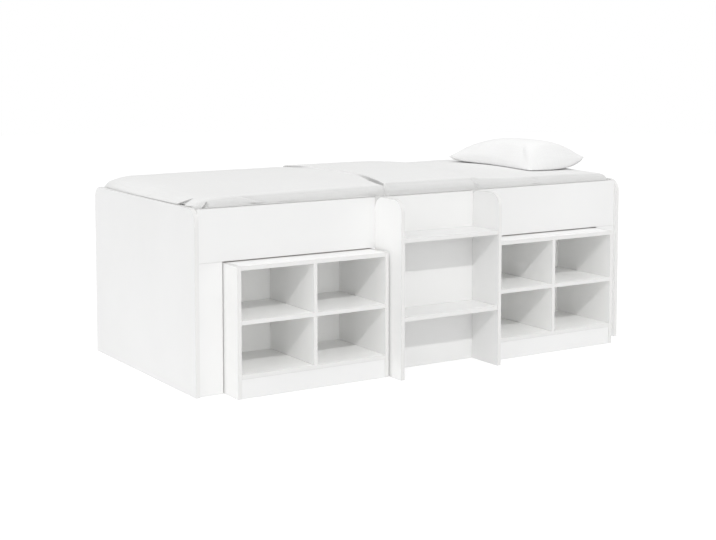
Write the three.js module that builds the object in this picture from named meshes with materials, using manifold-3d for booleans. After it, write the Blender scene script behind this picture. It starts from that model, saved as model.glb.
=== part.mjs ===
// A low loft bed: two white end panels and two rails carry a slatted base and a mattress with its pillow,
// a step unit stands in front of the middle, and an open bookcase slides under the bed on each side of it.
// Millimetres, +Z up. The origin lies on the floor under the middle of the whole bed, +X runs towards the
// pillow and +Y towards the wall side. The model stands as it is used, with both bookcases part way out.

import * as THREE from 'three';
import { mergeVertices } from 'three/addons/utils/BufferGeometryUtils.js';
import Module from 'manifold-3d';

const wasm = await Module();
wasm.setup();

// Boards
const boardThickness = 16;

// Mattress, a standard single, and the room round it between the end panels and between the rails
const mattressLength = 1996;
const mattressWidth = 894;
const mattressEndRoom = 6;
const mattressSideRoom = 3;

// Rails, which carry the slatted base
const railHeight = 198;
const frontRailSetback = 12;
const stretcherHeight = 100;
const stretcherFloorGap = 100;

// End panels, which rise a little above the rails
const panelRise = 4;
const panelCornerRadius = 50;
const cornerSegments = 10;

// Posts under the ends of the front rail
const postWidth = 100;

// Slatted base
const slatCount = 14;
const slatWidth = 70;
const slatThickness = 18;
const slatEdgeRadius = 4;
const slatEdgeSegments = 3;
const slatEndClearance = 2;
const bearerWidth = 20;
const bearerHeight = 40;
const bearerLift = 40;

// Steel angles that join the rails to the end panels
const angleLeg = 40;
const angleThickness = 2;
const angleBendRadius = 2;
const angleHoleRadius = 2.5;
const angleHoleSides = 12;
const angleMargin = 3;

// Step unit in front of the middle of the bed
const stepUnitWidth = 480;
const stepUnitDepth = 185;
const lowerTreadTop = 241;
const upperTreadTop = 544;
const treadSetback = 2;

// Open bookcases, which fill their bays between post, step unit and rail apart from running gaps
const bookcaseDepth = 345;
const bookcaseHeight = 486;
const bookcasePostGap = 4;
const bookcaseStepGap = 8;
const bookcaseTopGap = 4;
const bookcaseProud = 110;
const plinthHeight = 72;
const plinthSetback = 2;
const backThickness = 3;
const backGrooveDepth = 6;
const backGrooveClearance = 0.3;
const backRearMargin = 4;

// Form of the mattress
const mattressEdgeDepth = 136.7;
const mattressCrown = 12;
const mattressCrownEndPower = 8;
const mattressShoulderRadius = 26;
const mattressSideDraw = 5;
const mattressSeatGap = 0.3;
const mattressSegments = { x: 28, y: 14, z: 4 };

// Crease across the mattress cover, and the slightly raised stretch of cover on its head side
const creaseFrontX = -190;
const creaseMiddleX = -118;
const creaseRearX = -150;
const creaseDepth = 12;
const creaseHalfWidth = 26;
const creaseMiddleShare = 0.35;
const raisedBandHeight = 7;
const raisedBandEndFrontX = 256;
const raisedBandEndRearX = 430;
const raisedBandEase = 40;

// Pillow, filled, its length across the bed, with one corner that stands up at the head end
const pillowLength = 516;
const pillowWidth = 348;
const pillowThickness = 114;
const pillowSeamHeight = 10;
const pillowCornerLift = 46;
const pillowEdgeThickness = 3;
const pillowSideDraw = 14;
const pillowCentreFromHeadPanel = 201;
const pillowCentreFromFrontRail = 413;
const pillowTurn = 0.13;
const pillowSeatGap = 0.5;
const pillowFillPower = 2.5;
const pillowFillRoundShare = 0.47;
const pillowUndersideShare = 1.4;
const pillowSegments = { x: 22, y: 18, z: 1 };

// Length past a face, so that a cut goes clean through it
const cutOverrun = 5;

// Places that follow from the sizes above
const bayLength = mattressLength + 2 * mattressEndRoom;
const bayWidth = mattressWidth + 2 * mattressSideRoom;
const wholeLength = bayLength + 2 * boardThickness;
const panelDepth = frontRailSetback + 2 * boardThickness + bayWidth;
const wholeDepth = panelDepth + stepUnitDepth - frontRailSetback;
const stepFrontY = -wholeDepth / 2;
const panelFrontY = wholeDepth / 2 - panelDepth;
const panelRearY = wholeDepth / 2;
const railFrontY = panelFrontY + frontRailSetback;
const bayFrontY = railFrontY + boardThickness;
const bayRearY = bayFrontY + bayWidth;
const bayMiddleY = (bayFrontY + bayRearY) / 2;
const railBottom = bookcaseHeight + bookcaseTopGap;
const railTop = railBottom + railHeight;
const panelHeight = railTop + panelRise;
const bearerBottom = railBottom + bearerLift;
const bearerTop = bearerBottom + bearerHeight;
const slatTop = bearerTop + slatThickness;
const angleBottom = railBottom + angleMargin;
const angleHeight = bearerLift - 2 * angleMargin;
const bookcaseBayEnd = bayLength / 2 - postWidth;
const bookcaseWidth = bookcaseBayEnd - bookcasePostGap - bookcaseStepGap - stepUnitWidth / 2;
const bookcaseMiddle = bookcaseBayEnd - bookcasePostGap - bookcaseWidth / 2;
const mattressBottom = slatTop + mattressSeatGap;
const mattressEdgeTop = mattressBottom + mattressEdgeDepth;

const group = new THREE.Group();
group.name = 'loft_bed';

// A finish from its colour, roughness and metalness
function finish(color, roughness, metalness) {
  return () => new THREE.MeshStandardMaterial({ color, roughness, metalness });
}

const whiteBoard = finish(0xf3f3f1, 0.45, 0);
const whiteBack = finish(0xeeeeec, 0.6, 0);
const pine = finish(0xd9b98a, 0.65, 0);
const zincSteel = finish(0xb9bcc0, 0.35, 1);
const mattressCover = finish(0xe9e9e7, 0.95, 0);
const pillowCotton = finish(0xf4f4f3, 0.9, 0);

// Names a mesh and adds it to a group at a place
function addMesh(parent, name, geometry, material, place = [0, 0, 0]) {
  const mesh = new THREE.Mesh(geometry, material);
  mesh.name = name;
  mesh.position.set(...place);
  parent.add(mesh);
  return mesh;
}

// A flat board that fills the box between two opposite corners
function addBoard(parent, name, material, low, high) {
  const size = high.map((value, axis) => value - low[axis]);
  const middle = high.map((value, axis) => (value + low[axis]) / 2);
  return addMesh(parent, name, new THREE.BoxGeometry(...size), material, middle);
}

// Lays an extrusion so that its outline's two directions follow Y and Z, and its length follows X
function turnAlongX(geometry) {
  const across = new THREE.Vector3(0, 1, 0);
  const up = new THREE.Vector3(0, 0, 1);
  const along = new THREE.Vector3(1, 0, 0);
  return geometry.applyMatrix4(new THREE.Matrix4().makeBasis(across, up, along));
}

// Lays an extrusion so that its outline's two directions follow Z and X, and its length follows Y
function turnAlongY(geometry) {
  const across = new THREE.Vector3(0, 0, 1);
  const up = new THREE.Vector3(1, 0, 0);
  const along = new THREE.Vector3(0, 1, 0);
  return geometry.applyMatrix4(new THREE.Matrix4().makeBasis(across, up, along));
}

// A straight extrusion of an outline, without any bevel
function extrude(shape, depth, curveSegments) {
  return new THREE.ExtrudeGeometry(shape, { depth, bevelEnabled: false, curveSegments });
}

// A closed outline through corner points
function outline(points) {
  return new THREE.Shape(points.map(([u, v]) => new THREE.Vector2(u, v)));
}

// Turns a geometry into a solid that can be cut
function toSolid(geometry) {
  const bare = geometry.clone();
  bare.deleteAttribute('normal');
  bare.deleteAttribute('uv');
  const merged = mergeVertices(bare);
  const vertProperties = new Float32Array(merged.attributes.position.array);
  const triVerts = new Uint32Array(merged.index.array);
  return new wasm.Manifold(new wasm.Mesh({ numProp: 3, vertProperties, triVerts }));
}

// Turns a cut solid back into a geometry
function toGeometry(solid) {
  const mesh = solid.getMesh();
  const geometry = new THREE.BufferGeometry();
  geometry.setAttribute('position', new THREE.BufferAttribute(new Float32Array(mesh.vertProperties), 3));
  geometry.setIndex(new THREE.BufferAttribute(new Uint32Array(mesh.triVerts), 1));
  const faceted = geometry.toNonIndexed();
  faceted.computeVertexNormals();
  return faceted;
}

// An upright panel seen from its end, with a round corner at the top of each side that asks for one
function uprightShape(depth, height, frontRadius, rearRadius) {
  const shape = new THREE.Shape();
  shape.moveTo(0, 0);
  shape.lineTo(depth, 0);
  shape.lineTo(depth, height - rearRadius);
  if (rearRadius > 0) {
    shape.absarc(depth - rearRadius, height - rearRadius, rearRadius, 0, Math.PI / 2, false);
  }
  shape.lineTo(frontRadius, height);
  if (frontRadius > 0) {
    shape.absarc(frontRadius, height - frontRadius, frontRadius, Math.PI / 2, Math.PI, false);
  }
  shape.closePath();
  return shape;
}

// End panels, which stand on the floor and carry both rails
function addEndPanels() {
  const shape = uprightShape(panelDepth, panelHeight, panelCornerRadius, panelCornerRadius);
  const ends = [
    ['foot_end_panel', -wholeLength / 2],
    ['head_end_panel', wholeLength / 2 - boardThickness],
  ];
  for (const [name, x] of ends) {
    const geometry = turnAlongX(extrude(shape, boardThickness, cornerSegments));
    addMesh(group, name, geometry, whiteBoard(), [x, panelFrontY, 0]);
  }
}

// Rails between the end panels, the low stretcher at the wall side and the posts beside the bookcases
function addRails() {
  const left = -bayLength / 2;
  const right = bayLength / 2;
  const stretcherTop = stretcherFloorGap + stretcherHeight;
  addBoard(group, 'front_rail', whiteBoard(), [left, railFrontY, railBottom], [right, bayFrontY, railTop]);
  addBoard(group, 'rear_rail', whiteBoard(), [left, bayRearY, railBottom], [right, panelRearY, railTop]);
  const stretcherEnd = [right, panelRearY, stretcherTop];
  addBoard(group, 'rear_stretcher', whiteBoard(), [left, bayRearY, stretcherFloorGap], stretcherEnd);
  const footPostEnd = [left + postWidth, bayFrontY, railBottom];
  const headPostEnd = [right, bayFrontY, railBottom];
  addBoard(group, 'front_post_foot', whiteBoard(), [left, railFrontY, 0], footPostEnd);
  addBoard(group, 'front_post_head', whiteBoard(), [right - postWidth, railFrontY, 0], headPostEnd);
}

// One slat, with rounded long edges
function slatGeometry(length) {
  const half = slatWidth / 2;
  const r = slatEdgeRadius;
  const shape = new THREE.Shape();
  shape.moveTo(0, -half + r);
  shape.absarc(r, -half + r, r, Math.PI, Math.PI * 1.5, false);
  shape.absarc(slatThickness - r, -half + r, r, -Math.PI / 2, 0, false);
  shape.absarc(slatThickness - r, half - r, r, 0, Math.PI / 2, false);
  shape.absarc(r, half - r, r, Math.PI / 2, Math.PI, false);
  shape.closePath();
  return turnAlongY(extrude(shape, length, slatEdgeSegments));
}

// Battens along the rails and the slats that lie on them
function addSlattedBase() {
  const left = -bayLength / 2;
  const right = bayLength / 2;
  const bearers = [
    ['front_slat_bearer', bayFrontY],
    ['rear_slat_bearer', bayRearY - bearerWidth],
  ];
  for (const [name, y] of bearers) {
    addBoard(group, name, pine(), [left, y, bearerBottom], [right, y + bearerWidth, bearerTop]);
  }
  const length = bayWidth - 2 * slatEndClearance;
  const gap = (bayLength - slatCount * slatWidth) / (slatCount + 1);
  for (let index = 0; index < slatCount; index += 1) {
    const x = left + gap + slatWidth / 2 + index * (slatWidth + gap);
    const name = `slat_${String(index + 1).padStart(2, '0')}`;
    addMesh(group, name, slatGeometry(length), pine(), [x, bayFrontY + slatEndClearance, bearerTop]);
  }
}

// One steel angle with two screw holes in each leg, its corner at the origin and its legs along +X and +Y
function angleGeometry() {
  const t = angleThickness;
  const shape = new THREE.Shape();
  shape.moveTo(0, 0);
  shape.lineTo(angleLeg, 0);
  shape.lineTo(angleLeg, t);
  shape.lineTo(t + angleBendRadius, t);
  shape.absarc(t + angleBendRadius, t + angleBendRadius, angleBendRadius, -Math.PI / 2, -Math.PI, true);
  shape.lineTo(t, angleLeg);
  shape.lineTo(0, angleLeg);
  shape.closePath();
  let solid = toSolid(extrude(shape, angleHeight, cornerSegments));
  const holeLength = t + 2 * cutOverrun;
  const holeInset = angleLeg / 4;
  for (const along of [2 * holeInset, 3 * holeInset]) {
    const throughY = new THREE.CylinderGeometry(angleHoleRadius, angleHoleRadius, holeLength, angleHoleSides);
    throughY.translate(along, t / 2, angleHeight / 2);
    solid = solid.subtract(toSolid(throughY));
    const throughX = new THREE.CylinderGeometry(angleHoleRadius, angleHoleRadius, holeLength, angleHoleSides);
    throughX.rotateZ(Math.PI / 2);
    throughX.translate(t / 2, along, angleHeight / 2);
    solid = solid.subtract(toSolid(throughX));
  }
  return toGeometry(solid);
}

// Steel angles in the four corners between rails and end panels, under the battens
function addAngles() {
  const corners = [
    ['front_foot_angle', -bayLength / 2, bayFrontY, 0],
    ['front_head_angle', bayLength / 2, bayFrontY, Math.PI / 2],
    ['rear_head_angle', bayLength / 2, bayRearY, Math.PI],
    ['rear_foot_angle', -bayLength / 2, bayRearY, -Math.PI / 2],
  ];
  for (const [name, x, y, turn] of corners) {
    const geometry = angleGeometry();
    geometry.rotateZ(turn);
    addMesh(group, name, geometry, zincSteel(), [x, y, angleBottom]);
  }
}

// Step unit: two sides with a round top corner, a back that stands against the front rail, and two treads
function addStepUnit() {
  const half = stepUnitWidth / 2;
  const innerHalf = half - boardThickness;
  const backY = railFrontY - boardThickness;
  const shape = uprightShape(stepUnitDepth, panelHeight, panelCornerRadius, 0);
  const sides = [
    ['step_side_foot', -half],
    ['step_side_head', half - boardThickness],
  ];
  for (const [name, x] of sides) {
    const geometry = turnAlongX(extrude(shape, boardThickness, cornerSegments));
    addMesh(group, name, geometry, whiteBoard(), [x, stepFrontY, 0]);
  }
  addBoard(group, 'step_back', whiteBoard(), [-innerHalf, backY, 0], [innerHalf, railFrontY, railTop]);
  const treads = [
    ['lower_tread', lowerTreadTop],
    ['upper_tread', upperTreadTop],
  ];
  for (const [name, top] of treads) {
    const low = [-innerHalf, stepFrontY + treadSetback, top - boardThickness];
    addBoard(group, name, whiteBoard(), low, [innerHalf, backY, top]);
  }
}

// A board's section with a groove near its far edge, its grooved face at v = thickness
function groovedSection(depth, thickness) {
  const grooveEnd = depth - backRearMargin + backGrooveClearance;
  const grooveStart = depth - backRearMargin - backThickness - backGrooveClearance;
  const grooveFloor = thickness - backGrooveDepth;
  return outline([
    [0, 0],
    [depth, 0],
    [depth, thickness],
    [grooveEnd, thickness],
    [grooveEnd, grooveFloor],
    [grooveStart, grooveFloor],
    [grooveStart, thickness],
    [0, thickness],
  ]);
}

// An upright bookcase side, with its groove facing +X
function bookcaseSideGeometry() {
  const geometry = extrude(groovedSection(bookcaseDepth, boardThickness), bookcaseHeight);
  const alongY = new THREE.Vector3(0, 1, 0);
  const alongX = new THREE.Vector3(1, 0, 0);
  const downZ = new THREE.Vector3(0, 0, -1);
  geometry.applyMatrix4(new THREE.Matrix4().makeBasis(alongY, alongX, downZ));
  return geometry.translate(0, 0, bookcaseHeight);
}

// A lying bookcase board, with its groove facing up
function bookcaseBottomGeometry(length) {
  return turnAlongX(extrude(groovedSection(bookcaseDepth, boardThickness), length));
}

// The same board turned over, with its groove facing down
function bookcaseTopGeometry(length) {
  return bookcaseBottomGeometry(length).rotateY(Math.PI);
}

// One open bookcase of four cells, as a group whose origin is the middle of its front edge on the floor
function addBookcase(prefix, middleX) {
  const bookcase = new THREE.Group();
  bookcase.name = `${prefix}_bookcase`;
  bookcase.position.set(middleX, railFrontY - bookcaseProud, 0);
  group.add(bookcase);

  const half = bookcaseWidth / 2;
  const innerHalf = half - boardThickness;
  const innerWidth = 2 * innerHalf;
  const bottomTop = plinthHeight + boardThickness;
  const topUnder = bookcaseHeight - boardThickness;
  const cellHeight = (topUnder - bottomTop - boardThickness) / 2;
  const shelfUnder = bottomTop + cellHeight;
  const shelfTop = shelfUnder + boardThickness;
  const backFrontY = bookcaseDepth - backRearMargin - backThickness;
  const shelfRearY = backFrontY - backGrooveClearance;
  const halfBoard = boardThickness / 2;

  const leftSide = bookcaseSideGeometry();
  addMesh(bookcase, `${prefix}_bookcase_foot_side`, leftSide, whiteBoard(), [-half, 0, 0]);
  const rightSide = bookcaseSideGeometry();
  rightSide.rotateY(Math.PI).translate(0, 0, bookcaseHeight);
  addMesh(bookcase, `${prefix}_bookcase_head_side`, rightSide, whiteBoard(), [half, 0, 0]);

  const bottom = bookcaseBottomGeometry(innerWidth);
  addMesh(bookcase, `${prefix}_bookcase_bottom`, bottom, whiteBoard(), [-innerHalf, 0, plinthHeight]);
  const top = bookcaseTopGeometry(innerWidth);
  addMesh(bookcase, `${prefix}_bookcase_top`, top, whiteBoard(), [innerHalf, 0, bookcaseHeight]);

  const shelfHigh = [innerHalf, shelfRearY, shelfTop];
  addBoard(bookcase, `${prefix}_bookcase_shelf`, whiteBoard(), [-innerHalf, 0, shelfUnder], shelfHigh);
  const upperHigh = [halfBoard, shelfRearY, topUnder];
  addBoard(bookcase, `${prefix}_bookcase_upper_divider`, whiteBoard(), [-halfBoard, 0, shelfTop], upperHigh);
  const lowerHigh = [halfBoard, shelfRearY, shelfUnder];
  addBoard(bookcase, `${prefix}_bookcase_lower_divider`, whiteBoard(), [-halfBoard, 0, bottomTop], lowerHigh);
  const plinthHigh = [innerHalf, plinthSetback + boardThickness, plinthHeight];
  addBoard(bookcase, `${prefix}_bookcase_plinth`, whiteBoard(), [-innerHalf, plinthSetback, 0], plinthHigh);

  const tongue = backGrooveDepth - backGrooveClearance;
  const backLow = [-innerHalf - tongue, backFrontY, bottomTop - tongue];
  const backHigh = [innerHalf + tongue, backFrontY + backThickness, topUnder + tongue];
  addBoard(bookcase, `${prefix}_bookcase_back`, whiteBack(), backLow, backHigh);
}

// A smooth step from 0 to 1 between two values
function ease(value, start, end) {
  const share = THREE.MathUtils.clamp((value - start) / (end - start), 0, 1);
  return share * share * (3 - 2 * share);
}

// How far across the mattress a place is, from -1 at the front edge to 1 at the rear edge
function mattressAcrossShare(y) {
  return (2 * (y - bayMiddleY)) / mattressWidth;
}

// Height of the mattress's top: a crown, a crease across the bed and a slightly raised band beside it
function mattressTopAt(x, y) {
  const across = THREE.MathUtils.clamp(mattressAcrossShare(y), -1, 1);
  const along = (2 * x) / mattressLength;
  const crown = mattressCrown * (1 - across ** 2) * (1 - along ** mattressCrownEndPower);
  const creaseEndX = across < 0 ? creaseFrontX : creaseRearX;
  const creaseLine = THREE.MathUtils.lerp(creaseMiddleX, creaseEndX, across ** 2);
  const creaseReach = (x - creaseLine) / creaseHalfWidth;
  const creaseShare = THREE.MathUtils.lerp(creaseMiddleShare, 1, across ** 2);
  const crease = creaseDepth * Math.exp(-(creaseReach ** 2)) * creaseShare;
  const bandEnd = THREE.MathUtils.lerp(raisedBandEndFrontX, raisedBandEndRearX, (across + 1) / 2);
  const bandStart = ease(x, creaseLine, creaseLine + raisedBandEase);
  const band = raisedBandHeight * bandStart * (1 - ease(x, bandEnd, bandEnd + raisedBandEase));
  return mattressEdgeTop + crown + band - crease;
}

// A closed box grid from -1 to 1 each way, which a soft form is bent from
function unitGrid(segments) {
  const geometry = new THREE.BoxGeometry(2, 2, 2, segments.x, segments.y, segments.z);
  geometry.deleteAttribute('normal');
  geometry.deleteAttribute('uv');
  return mergeVertices(geometry);
}

// Draws a grid's lines closer together towards its edges
function spread(share) {
  return Math.sin((share * Math.PI) / 2);
}

// A bent grid with flat facets
function facetedForm(grid) {
  const faceted = grid.toNonIndexed();
  faceted.computeVertexNormals();
  return faceted;
}

// Mattress: a box grid whose edges are rounded, whose sides draw in upwards and whose top has its form
function addMattress() {
  const grid = unitGrid(mattressSegments);
  const place = grid.attributes.position;
  const r = mattressShoulderRadius;
  for (let index = 0; index < place.count; index += 1) {
    const along = spread(place.getX(index));
    const across = spread(place.getY(index));
    const up = (spread(place.getZ(index)) + 1) / 2;
    let x = (along * mattressLength) / 2;
    let y = (across * mattressWidth) / 2;
    const top = mattressTopAt(x, bayMiddleY + y);
    let z = THREE.MathUtils.lerp(mattressBottom, top, up);
    const inner = new THREE.Vector3(
      THREE.MathUtils.clamp(x, -mattressLength / 2 + r, mattressLength / 2 - r),
      THREE.MathUtils.clamp(y, -mattressWidth / 2 + r, mattressWidth / 2 - r),
      THREE.MathUtils.clamp(z, mattressBottom + r, top - r),
    );
    const outward = new THREE.Vector3(x, y, z).sub(inner);
    if (outward.length() > r) {
      outward.setLength(r);
    }
    const draw = mattressSideDraw * up ** 2;
    x = inner.x + outward.x - draw * along;
    y = inner.y + outward.y - draw * across;
    z = inner.z + outward.z;
    place.setXYZ(index, x, y, z);
  }
  addMesh(group, 'mattress', facetedForm(grid), mattressCover(), [0, bayMiddleY, 0]);
}

// Pillow: a crowned cushion with drawn-in sides, pointed corners and an underside that follows the mattress
function addPillow() {
  const grid = unitGrid(pillowSegments);
  const place = grid.attributes.position;
  const centreX = bayLength / 2 - pillowCentreFromHeadPanel;
  const centreY = bayFrontY + pillowCentreFromFrontRail;
  const halfEdge = pillowEdgeThickness / 2;
  for (let index = 0; index < place.count; index += 1) {
    const side = spread(place.getX(index));
    const end = spread(place.getY(index));
    const flatX = side * (pillowWidth / 2 - pillowSideDraw * (1 - end ** 2));
    const flatY = end * (pillowLength / 2 - pillowSideDraw * (1 - side ** 2));
    const x = flatX * Math.cos(pillowTurn) - flatY * Math.sin(pillowTurn);
    const y = flatX * Math.sin(pillowTurn) + flatY * Math.cos(pillowTurn);
    const sideFill = 1 - Math.abs(side) ** pillowFillPower;
    const endFill = 1 - Math.abs(end) ** pillowFillPower;
    const fill = (sideFill * endFill) ** pillowFillRoundShare;
    const cornerShare = (((side + 1) / 2) * ((1 - end) / 2)) ** 3;
    const seam = pillowSeamHeight + pillowCornerLift * cornerShare;
    const rest = mattressTopAt(centreX + x, centreY + y) + pillowSeatGap;
    const dome = rest + seam + (pillowThickness - seam) * fill + halfEdge;
    const raised = seam * (1 - Math.min(1, pillowUndersideShare * fill));
    const underside = rest + raised - halfEdge * (raised / seam);
    place.setXYZ(index, x, y, place.getZ(index) > 0 ? dome : underside);
  }
  addMesh(group, 'pillow', facetedForm(grid), pillowCotton(), [centreX, centreY, 0]);
}

addEndPanels();
addRails();
addSlattedBase();
addAngles();
addStepUnit();
addBookcase('foot', -bookcaseMiddle);
addBookcase('head', bookcaseMiddle);
addMattress();
addPillow();

export default group;
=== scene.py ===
"""Loft bed: finished boards, slats and steel, a mattress in its cover, a filled pillow and a plain studio"""

import math

import bmesh
import bpy
import numpy as np
from mathutils import Matrix, Vector, noise


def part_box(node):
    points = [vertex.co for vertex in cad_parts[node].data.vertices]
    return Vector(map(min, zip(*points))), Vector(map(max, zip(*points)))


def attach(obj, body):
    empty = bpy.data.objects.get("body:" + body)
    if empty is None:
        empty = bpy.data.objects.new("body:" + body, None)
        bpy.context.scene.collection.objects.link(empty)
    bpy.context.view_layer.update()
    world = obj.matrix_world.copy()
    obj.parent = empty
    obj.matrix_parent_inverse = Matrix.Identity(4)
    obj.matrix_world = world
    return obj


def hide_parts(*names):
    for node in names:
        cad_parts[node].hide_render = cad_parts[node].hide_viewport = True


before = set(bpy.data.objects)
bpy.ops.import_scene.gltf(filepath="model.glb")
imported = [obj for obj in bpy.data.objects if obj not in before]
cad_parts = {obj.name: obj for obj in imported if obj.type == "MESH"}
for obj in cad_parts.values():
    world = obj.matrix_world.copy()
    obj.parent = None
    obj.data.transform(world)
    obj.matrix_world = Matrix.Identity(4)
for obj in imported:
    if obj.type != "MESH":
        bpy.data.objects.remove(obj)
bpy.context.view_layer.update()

bl_info = {
    "name": "Loft Bed",
    "version": (1, 0, 0),
    "blender": (4, 5, 0),
    "location": "View3D > Sidebar > Loft Bed",
    "description": "Finishes a low loft bed with bookcases, a step unit, a mattress and a pillow",
    "category": "Add Mesh",
}

BOARDS = [
    name
    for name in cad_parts
    if name not in ("mattress", "pillow")
    and not name.startswith("slat_")
    and not name.endswith(("_bearer", "_angle", "_back"))
] + ["step_back"]
BACKS = ["foot_bookcase_back", "head_bookcase_back"]
SLATS = sorted(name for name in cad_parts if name.startswith("slat_"))
BEARERS = ["front_slat_bearer", "rear_slat_bearer"]
ANGLES = ["front_foot_angle", "front_head_angle", "rear_head_angle", "rear_foot_angle"]
ROUND_PANELS = ["foot_end_panel", "head_end_panel", "step_side_foot", "step_side_head"]
ROUND_CORNER_RADIUS = 0.05

BAY_LOW = Vector((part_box("foot_end_panel")[1].x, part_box("front_rail")[1].y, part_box("slat_01")[1].z))
BAY_HIGH = Vector((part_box("head_end_panel")[0].x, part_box("rear_rail")[0].y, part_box("front_rail")[1].z))
BAY_MIDDLE_Y = (BAY_LOW.y + BAY_HIGH.y) / 2


# Sizes and colours that can be changed


def shade(name, description, *default):
    """A colour that can be changed"""
    return bpy.props.FloatVectorProperty(
        name=name, description=description, default=default, size=3, min=0, max=1, subtype="COLOR")


def distance(name, description, default, low, high):
    """A distance that can be changed"""
    return bpy.props.FloatProperty(
        name=name, description=description, default=default, min=low, max=high,
        subtype="DISTANCE", unit="LENGTH")


def amount(name, description, default, high):
    """A strength that can be changed"""
    return bpy.props.FloatProperty(name=name, description=description, default=default, min=0, max=high)


class BoardShadeAndFinish(bpy.types.PropertyGroup):
    """White boards with their edging; the boards share one white, made lighter or darker per kind to paint in
    light and shade
    """

    # Painted light: rail to bookcase are one white, each made lighter or darker to paint in the light and
    # shade that falls on those boards
    rail: shade("Rail colour", "Colour of the rails, posts, plinths and upper tread", 0.75, 0.75, 0.747)
    panel: shade("End panel colour", "Colour of the end panels", 0.89, 0.89, 0.887)
    step: shade(
        "Step unit colour", "Colour of the step unit's head side and lower tread, and of the bookcases' tops",
        0.855, 0.855, 0.85)
    step_side: shade("Step side colour", "Colour of the step unit's foot side", 0.965, 0.965, 0.958)
    step_back: shade("Step back colour", "Colour of the board behind the treads", 0.765, 0.765, 0.759)
    bookcase: shade("Bookcase colour", "Colour of the bookcases' other boards", 0.945, 0.945, 0.935)
    back: shade("Back colour", "Colour of the thin bookcase backs", 0.96, 0.96, 0.95)
    edging: shade("Edging colour", "Colour of the edging strips and of worn arrises", 0.70, 0.698, 0.69)
    edging_thickness: distance("Edging thickness", "Thickness of the edging strip", 0.0008, 0.0003, 0.003)
    arris: distance("Arris", "Width of the broken edge round each board", 0.0007, 0.0002, 0.003)
    wear: distance("Wear width", "How far wear reaches in from an arris", 0.0025, 0.0005, 0.01)


class TimberFinish(bpy.types.PropertyGroup):
    """Pine slats and battens"""

    early: shade("Early wood", "Light colour between the growth rings", 0.72, 0.51, 0.29)
    late: shade("Late wood", "Dark colour of the growth rings", 0.52, 0.29, 0.12)
    knot: shade("Knots", "Colour of the knots", 0.25, 0.11, 0.045)
    ring_spacing: distance("Ring spacing", "Distance between growth rings", 0.0045, 0.001, 0.02)


class SteelFinish(bpy.types.PropertyGroup):
    """Zinc plated angles and screws"""

    zinc: shade("Zinc colour", "Colour of the plating", 0.56, 0.575, 0.6)
    screw_head: distance("Screw head", "Diameter of a screw head", 0.0076, 0.004, 0.009)


class MattressForm(bpy.types.PropertyGroup):
    """Mattress in its cover"""

    cover: shade("Cover colour", "Colour of the mattress cover", 0.787, 0.787, 0.782)
    # Painted shade: the long sides take this darker copy of the cover's colour
    side_shade_colour: shade("Border colour", "Colour of the mattress's long sides", 0.60, 0.60, 0.595)
    crease_depth: distance("Crease depth", "Depth of the crease at its two ends", 0.026, 0, 0.04)
    bulge: distance("Bulge", "How far the raised stretch lies over the front rail", 0.019, 0, 0.020)
    thread: distance("Thread spacing", "Distance between the cover's threads", 0.0009, 0.0003, 0.004)


class PillowForm(bpy.types.PropertyGroup):
    """Filled pillow"""

    cotton: shade("Pillow colour", "Colour of the pillow's cotton", 0.86, 0.86, 0.857)
    length: distance("Length", "Filled length across the bed", 0.556, 0.3, 0.8)
    width: distance("Width", "Filled width along the bed", 0.320, 0.2, 0.5)
    thickness: distance("Thickness", "Filled thickness at the crown", 0.119, 0.04, 0.2)
    thread: distance("Thread spacing", "Distance between the cotton's threads", 0.0006, 0.0003, 0.004)
    pressure: amount("Pressure", "Air pressure that fills the case in the simulation", 4.0, 20)


class Studio(bpy.types.PropertyGroup):
    """Floor, light and camera"""

    floor: shade("Floor colour", "Colour of the floor", 0.90, 0.90, 0.90)
    key: amount("Key light", "Strength of the light from the front left", 1.04, 5)
    around: amount("Light all round", "Level of the even light from all round", 0.04, 2)
    above: amount("Light from above", "Level of the soft light from above", 1.1, 2)
    left: amount("Light from the left", "Level of the soft light from the foot end", 0.28, 2)
    front: amount("Light from the front", "Level of the soft light low in front of the bed", 3.0, 5)
    lens: bpy.props.FloatProperty(
        name="Focal length", description="Focal length of the camera",
        default=70.52, min=20, max=200, subtype="DISTANCE_CAMERA", unit="CAMERA")


# Nodes


def feed(tree, socket, value):
    """Links another node's output to an input, or sets the input's value"""
    if isinstance(value, bpy.types.NodeSocket):
        tree.links.new(value, socket)
    else:
        socket.default_value = value


def place(tree, kind, inputs=None, **settings):
    """Adds a node with its settings and inputs"""
    node = tree.nodes.new(kind)
    for key, value in settings.items():
        setattr(node, key, value)
    for key, value in (inputs or {}).items():
        feed(tree, node.inputs[key], value)
    return node


def calc(tree, operation, *values):
    """One sum with numbers"""
    return place(tree, "ShaderNodeMath", dict(enumerate(values)), operation=operation).outputs[0]


def plus(tree, first, second):
    """The sum of two numbers"""
    return calc(tree, "ADD", first, second)


def minus(tree, first, second):
    """One number less another"""
    return calc(tree, "SUBTRACT", first, second)


def times(tree, first, second):
    """One number times another"""
    return calc(tree, "MULTIPLY", first, second)


def calc_vector(tree, operation, *values):
    """One sum with vectors, whose answer is a vector"""
    node = place(tree, "ShaderNodeVectorMath", dict(enumerate(values)), operation=operation)
    return node.outputs["Vector"]


def parts_of(tree, vector):
    """A vector's three numbers"""
    node = place(tree, "ShaderNodeSeparateXYZ", {"Vector": vector})
    return node.outputs["X"], node.outputs["Y"], node.outputs["Z"]


def ramp(tree, value, low, high, low_to=0.0, high_to=1.0):
    """Turns one range of numbers softly into another, without going past its ends"""
    node = place(tree, "ShaderNodeMapRange", {
        "Value": value, "From Min": low, "From Max": high, "To Min": low_to, "To Max": high_to,
    }, interpolation_type="SMOOTHSTEP")
    return node.outputs["Result"]


# A mix node has sockets of the same names for numbers, vectors and colours, so those for colours go by number
MIX_FIRST, MIX_SECOND, MIX_RESULT = 6, 7, 2


def mixed(tree, share, first, second):
    """Mixes two colours"""
    inputs = {"Factor": share, MIX_FIRST: first, MIX_SECOND: second}
    return place(tree, "ShaderNodeMix", inputs, data_type="RGBA").outputs[MIX_RESULT]


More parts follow.
